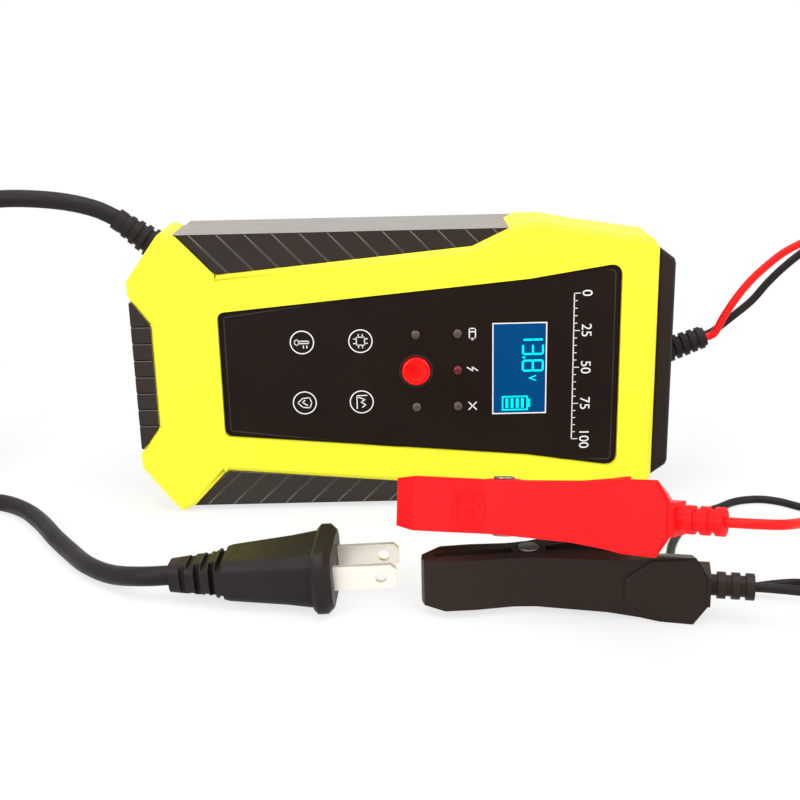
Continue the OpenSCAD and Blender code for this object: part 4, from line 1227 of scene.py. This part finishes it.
    def display(self) -> None:
        """Make the lit display: its blue field and border line."""
        x, z = self.lcd_place
        w, h = self.lcd_half
        blue = Marks(self.film + self.sunk, self.plate - self.sunk)
        blue.plate(rectangle(x, z, w - self.lcd_gap, h - self.lcd_gap))
        self.lay(blue, "display_field", Finishes.LCD, "lcd_blue", "lcd_glass")
        border = self.marks(self.lcd_sunk)
        border.band(*(rectangle(x, z, w + d, h + d) for d in (self.border_out, -self.border_in)))
        self.lay(border, "display_border")

    def lit_marks(self) -> None:
        """Light the display's digits, decimal point, unit and battery mark."""
        lit = self.marks(self.lcd_sunk)
        foot, left = self.digit_foot
        for digit, shift, width in self.digits:
            for (u0, v0), (u1, v1) in digit.bars(width, self.digit_height):
                cut = self.bar_cut / math.hypot(u1 - u0, v1 - v0)
                du, dv = (u1 - u0) * cut, (v1 - v0) * cut
                start = (foot + v0 + dv, left - shift - u0 - du)
                end = (foot + v1 - dv, left - shift - u1 + du)
                lit.stroke([start, end], self.bar_line)
        lit.stroke(self.point_mark, self.point_line)
        lit.stroke(self.unit_mark, self.unit_line)
        lit.stroke(closed(rectangle(*self.battery_mark)), self.battery_line)
        lit.stroke(self.battery_end, self.bar_line)
        for i in range(self.cells):
            x, z = self.cell_start[0] + i * self.cell_pitch, self.cell_start[1]
            lit.stroke([(x, z), (x, z - self.cell_height)], self.cell_line)
        self.lay(lit, "display_marks", Finishes.DIGIT, "lcd_blue")

    def lamps(self) -> None:
        """Set a domed lens on each lamp."""
        self.dresser.paint(["status_leds"], Finishes.LAMP)
        r, (dome_height, rim, base) = self.lamp_radius, self.lens_depths
        angles = [math.pi / 2 * i / self.lens_steps for i in range(self.lens_steps + 1)]
        dome = [(r * math.sin(a), rim - dome_height * math.cos(a)) for a in angles]
        profile = [*dome, (r, base), (0.0, base)]
        for i, (x, z) in enumerate(self.lamp_places):
            lens = self.turned(profile, self.lens_sides, x, self.film - self.lamp_rise, z)
            finish = Finishes.LAMP_RED if i == self.red_lamp else Finishes.LAMP
            self.dresser.add(piece_from(lens, f"lamp_lens_{i + 1}", finish), HOUSING, "led_lens")

    def button(self) -> None:
        """Turn the mode button and the collar round it."""
        r, sides = self.button_radius, self.button_sides
        profile = [
            (0.0, 0.32), (r - 2.0, 0.26), (r - 1.3, 0.1), (r - 0.75, 0.0), (r - 0.35, 0.08), (r - 0.1, 0.3),
            (r, 0.65), (r, 4.9), (r + 1.2, 4.9), (r + 1.2, 5.9), (1.6, 5.9), (1.6, 6.05), (0.0, 6.05),
        ]
        x, z = self.button_place
        cap = piece_from(self.turned(profile, sides, x, self.face, z), "mode_button_cap", Finishes.BUTTON)
        self.dresser.add(cap, "button", "button_red", "mode_button")
        collar = Marks(*(self.film + depth for depth in self.collar_depths))
        collar.band(*(circle(x, z, r + reach, sides) for reach in self.collar_reach))
        self.lay(collar, "button_collar", Finishes.COLLAR)

    def build(self) -> None:
        """Build the whole face."""
        self.dresser.round("face_panel", Finishes.PANEL, HOUSING, "panel_black", self.film_bevel, 40)
        self.lip()
        self.rings()
        self.lamp_marks()
        self.scale()
        self.display()
        self.lit_marks()
        self.lamps()
        self.button()


# ---- insides


@dataclass
class Insides:
    """The parts behind the face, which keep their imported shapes."""

    dresser: Dresser

    def build(self) -> None:
        """Give every inner part its finish."""
        for finish, names in (
            (Finishes.BOARD, ["display_board", "main_board"]),
            (Finishes.FERRITE, ["transformer_core"]),
            (Finishes.TAPE, ["transformer_winding"]),
            (Finishes.POWDER, ["choke_core"]),
            (Finishes.WIRE, ["choke_winding"]),
            (Finishes.SLEEVE, ["filter_capacitor", "output_capacitors"]),
            (Finishes.ALUMINIUM, ["heat_sink"]),
            (Finishes.PACKAGE, ["power_transistors", "line_filter", "mode_switch", "lcd_module"]),
            (Finishes.GLASS, ["fuse"]),
        ):
            self.dresser.paint(names, finish)


# ---- plug and clamps


@dataclass
class Plug:
    """The mains plug with its two flat blades."""

    dresser: Dresser
    body_bevel: float = 0.4
    blade_bevel: float = 0.25

    def build(self) -> list[Piece]:
        """Round and dress the plug.

        Returns:
            Its pieces.
        """
        return [
            self.dresser.round("plug_body", Finishes.PLUG, HOUSING, "cord_black", self.body_bevel, 35),
            self.dresser.round("plug_blades", Finishes.BLADE, HOUSING, "blade_plating", self.blade_bevel, 40),
        ]


class ClampKind(Enum):
    """The two battery clamps: name, finish, slot, place and turn."""

    RED = ("red", Finishes.CLAMP_RED, "clamp_red", (23.95, -88.5, 27.1), (-17.9, -1.7, -14.7))
    BLACK = ("black", Finishes.CLAMP_BLACK, "clamp_black", (30.2, -88.3, 8.8), (0.0, 0.0, 5.0))


@dataclass
class Clamp:
    """One battery clamp: handle, lever, toothed strips, spring and rivet; sizes in millimetres."""

    dresser: Dresser
    kind: ClampKind
    bevel: float = 0.45
    edge_limit: float = 34.0
    strip_bevel: float = 0.12
    rivet_bevel: float = 0.15
    metal_limit: float = 40.0
    wire: float = 0.9
    wire_step: float = 0.5
    wire_sides: int = 10
    spring_radius: float = 2.5
    spring_height: float = 4.6
    spring_turns: float = 4.5
    turn_steps: int = 16

    def matrix(self) -> Matrix:
        """Place the clamp, in millimetres.

        Returns:
            Its matrix.
        """
        _, _, _, place, turn = self.kind.value
        matrix = Matrix.Translation(place)
        for angle, axis in zip(reversed(turn), "ZYX"):
            matrix = matrix @ Matrix.Rotation(math.radians(angle), 4, axis)
        return matrix

    def spring(self) -> Piece:
        """Wind the torsion spring on the rivet.

        Returns:
            The piece.
        """
        r, half = self.spring_radius, self.spring_height / 2
        count = round(self.spring_turns * self.turn_steps)
        loop = []
        for i in range(count + 1):
            a = math.radians(-90 - 360 * i / self.turn_steps)
            loop.append((r * math.cos(a), r * math.sin(a), self.spring_height * (i / count - 0.5)))
        legs = [(13, -6.9, -half), (8, -5, -half), (3, -3, -half), (3.6, 2.1, half), (10, 1.1, half)]
        shape = wire_route([*legs[:3], *loop, *legs[3:]], self.wire, self.wire_step, self.wire_sides)
        name = f"{self.kind.value[0]}_spring_wire"
        return piece_from(to_metres(shape, self.matrix()), name, Finishes.STEEL, 60)

    def build(self) -> list[Piece]:
        """Round and dress the clamp.

        Returns:
            The pieces that its lead ends in.
        """
        name, finish, slot, _, _ = self.kind.value
        dresser, lever_body = self.dresser, f"{name}_lever"
        dresser.round(f"{name}_clamp_handle", finish, HOUSING, slot, self.bevel, self.edge_limit, 3)
        dresser.round(f"{name}_clamp_lever", finish, lever_body, slot, self.bevel, self.edge_limit, 3)
        dresser.add(self.spring(), HOUSING, "steel", f"{name}_clamp_spring")
        strip = f"{name}_handle_jaw"
        dresser.paint([strip], Finishes.COPPER)
        limit, jaw, pin = self.metal_limit, f"{name}_lever_jaw", f"{name}_clamp_rivet"
        dresser.round(jaw, Finishes.COPPER, lever_body, "jaw_copper", self.strip_bevel, limit, 1)
        rivet = dresser.round(pin, Finishes.RIVET, HOUSING, "steel", self.rivet_bevel, limit)
        return [dresser.nodes[strip], rivet]


# ---- run


def main() -> None:
    """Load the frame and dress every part."""
    logging.basicConfig(level=logging.INFO, format="%(message)s")
    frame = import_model()
    dresser = Dresser(frame["nodes"])
    Studio().build()
    plug = Plug(dresser).build()
    red = Clamp(dresser, ClampKind.RED).build()
    black = Clamp(dresser, ClampKind.BLACK).build()
    MAINS.build(dresser, plug)
    RED_LEAD.build(dresser, red)
    BLACK_LEAD.build(dresser, black)
    Housing(dresser).build()
    FacePanel(dresser).build()
    Insides(dresser).build()


if __name__ == "__main__":
    main()
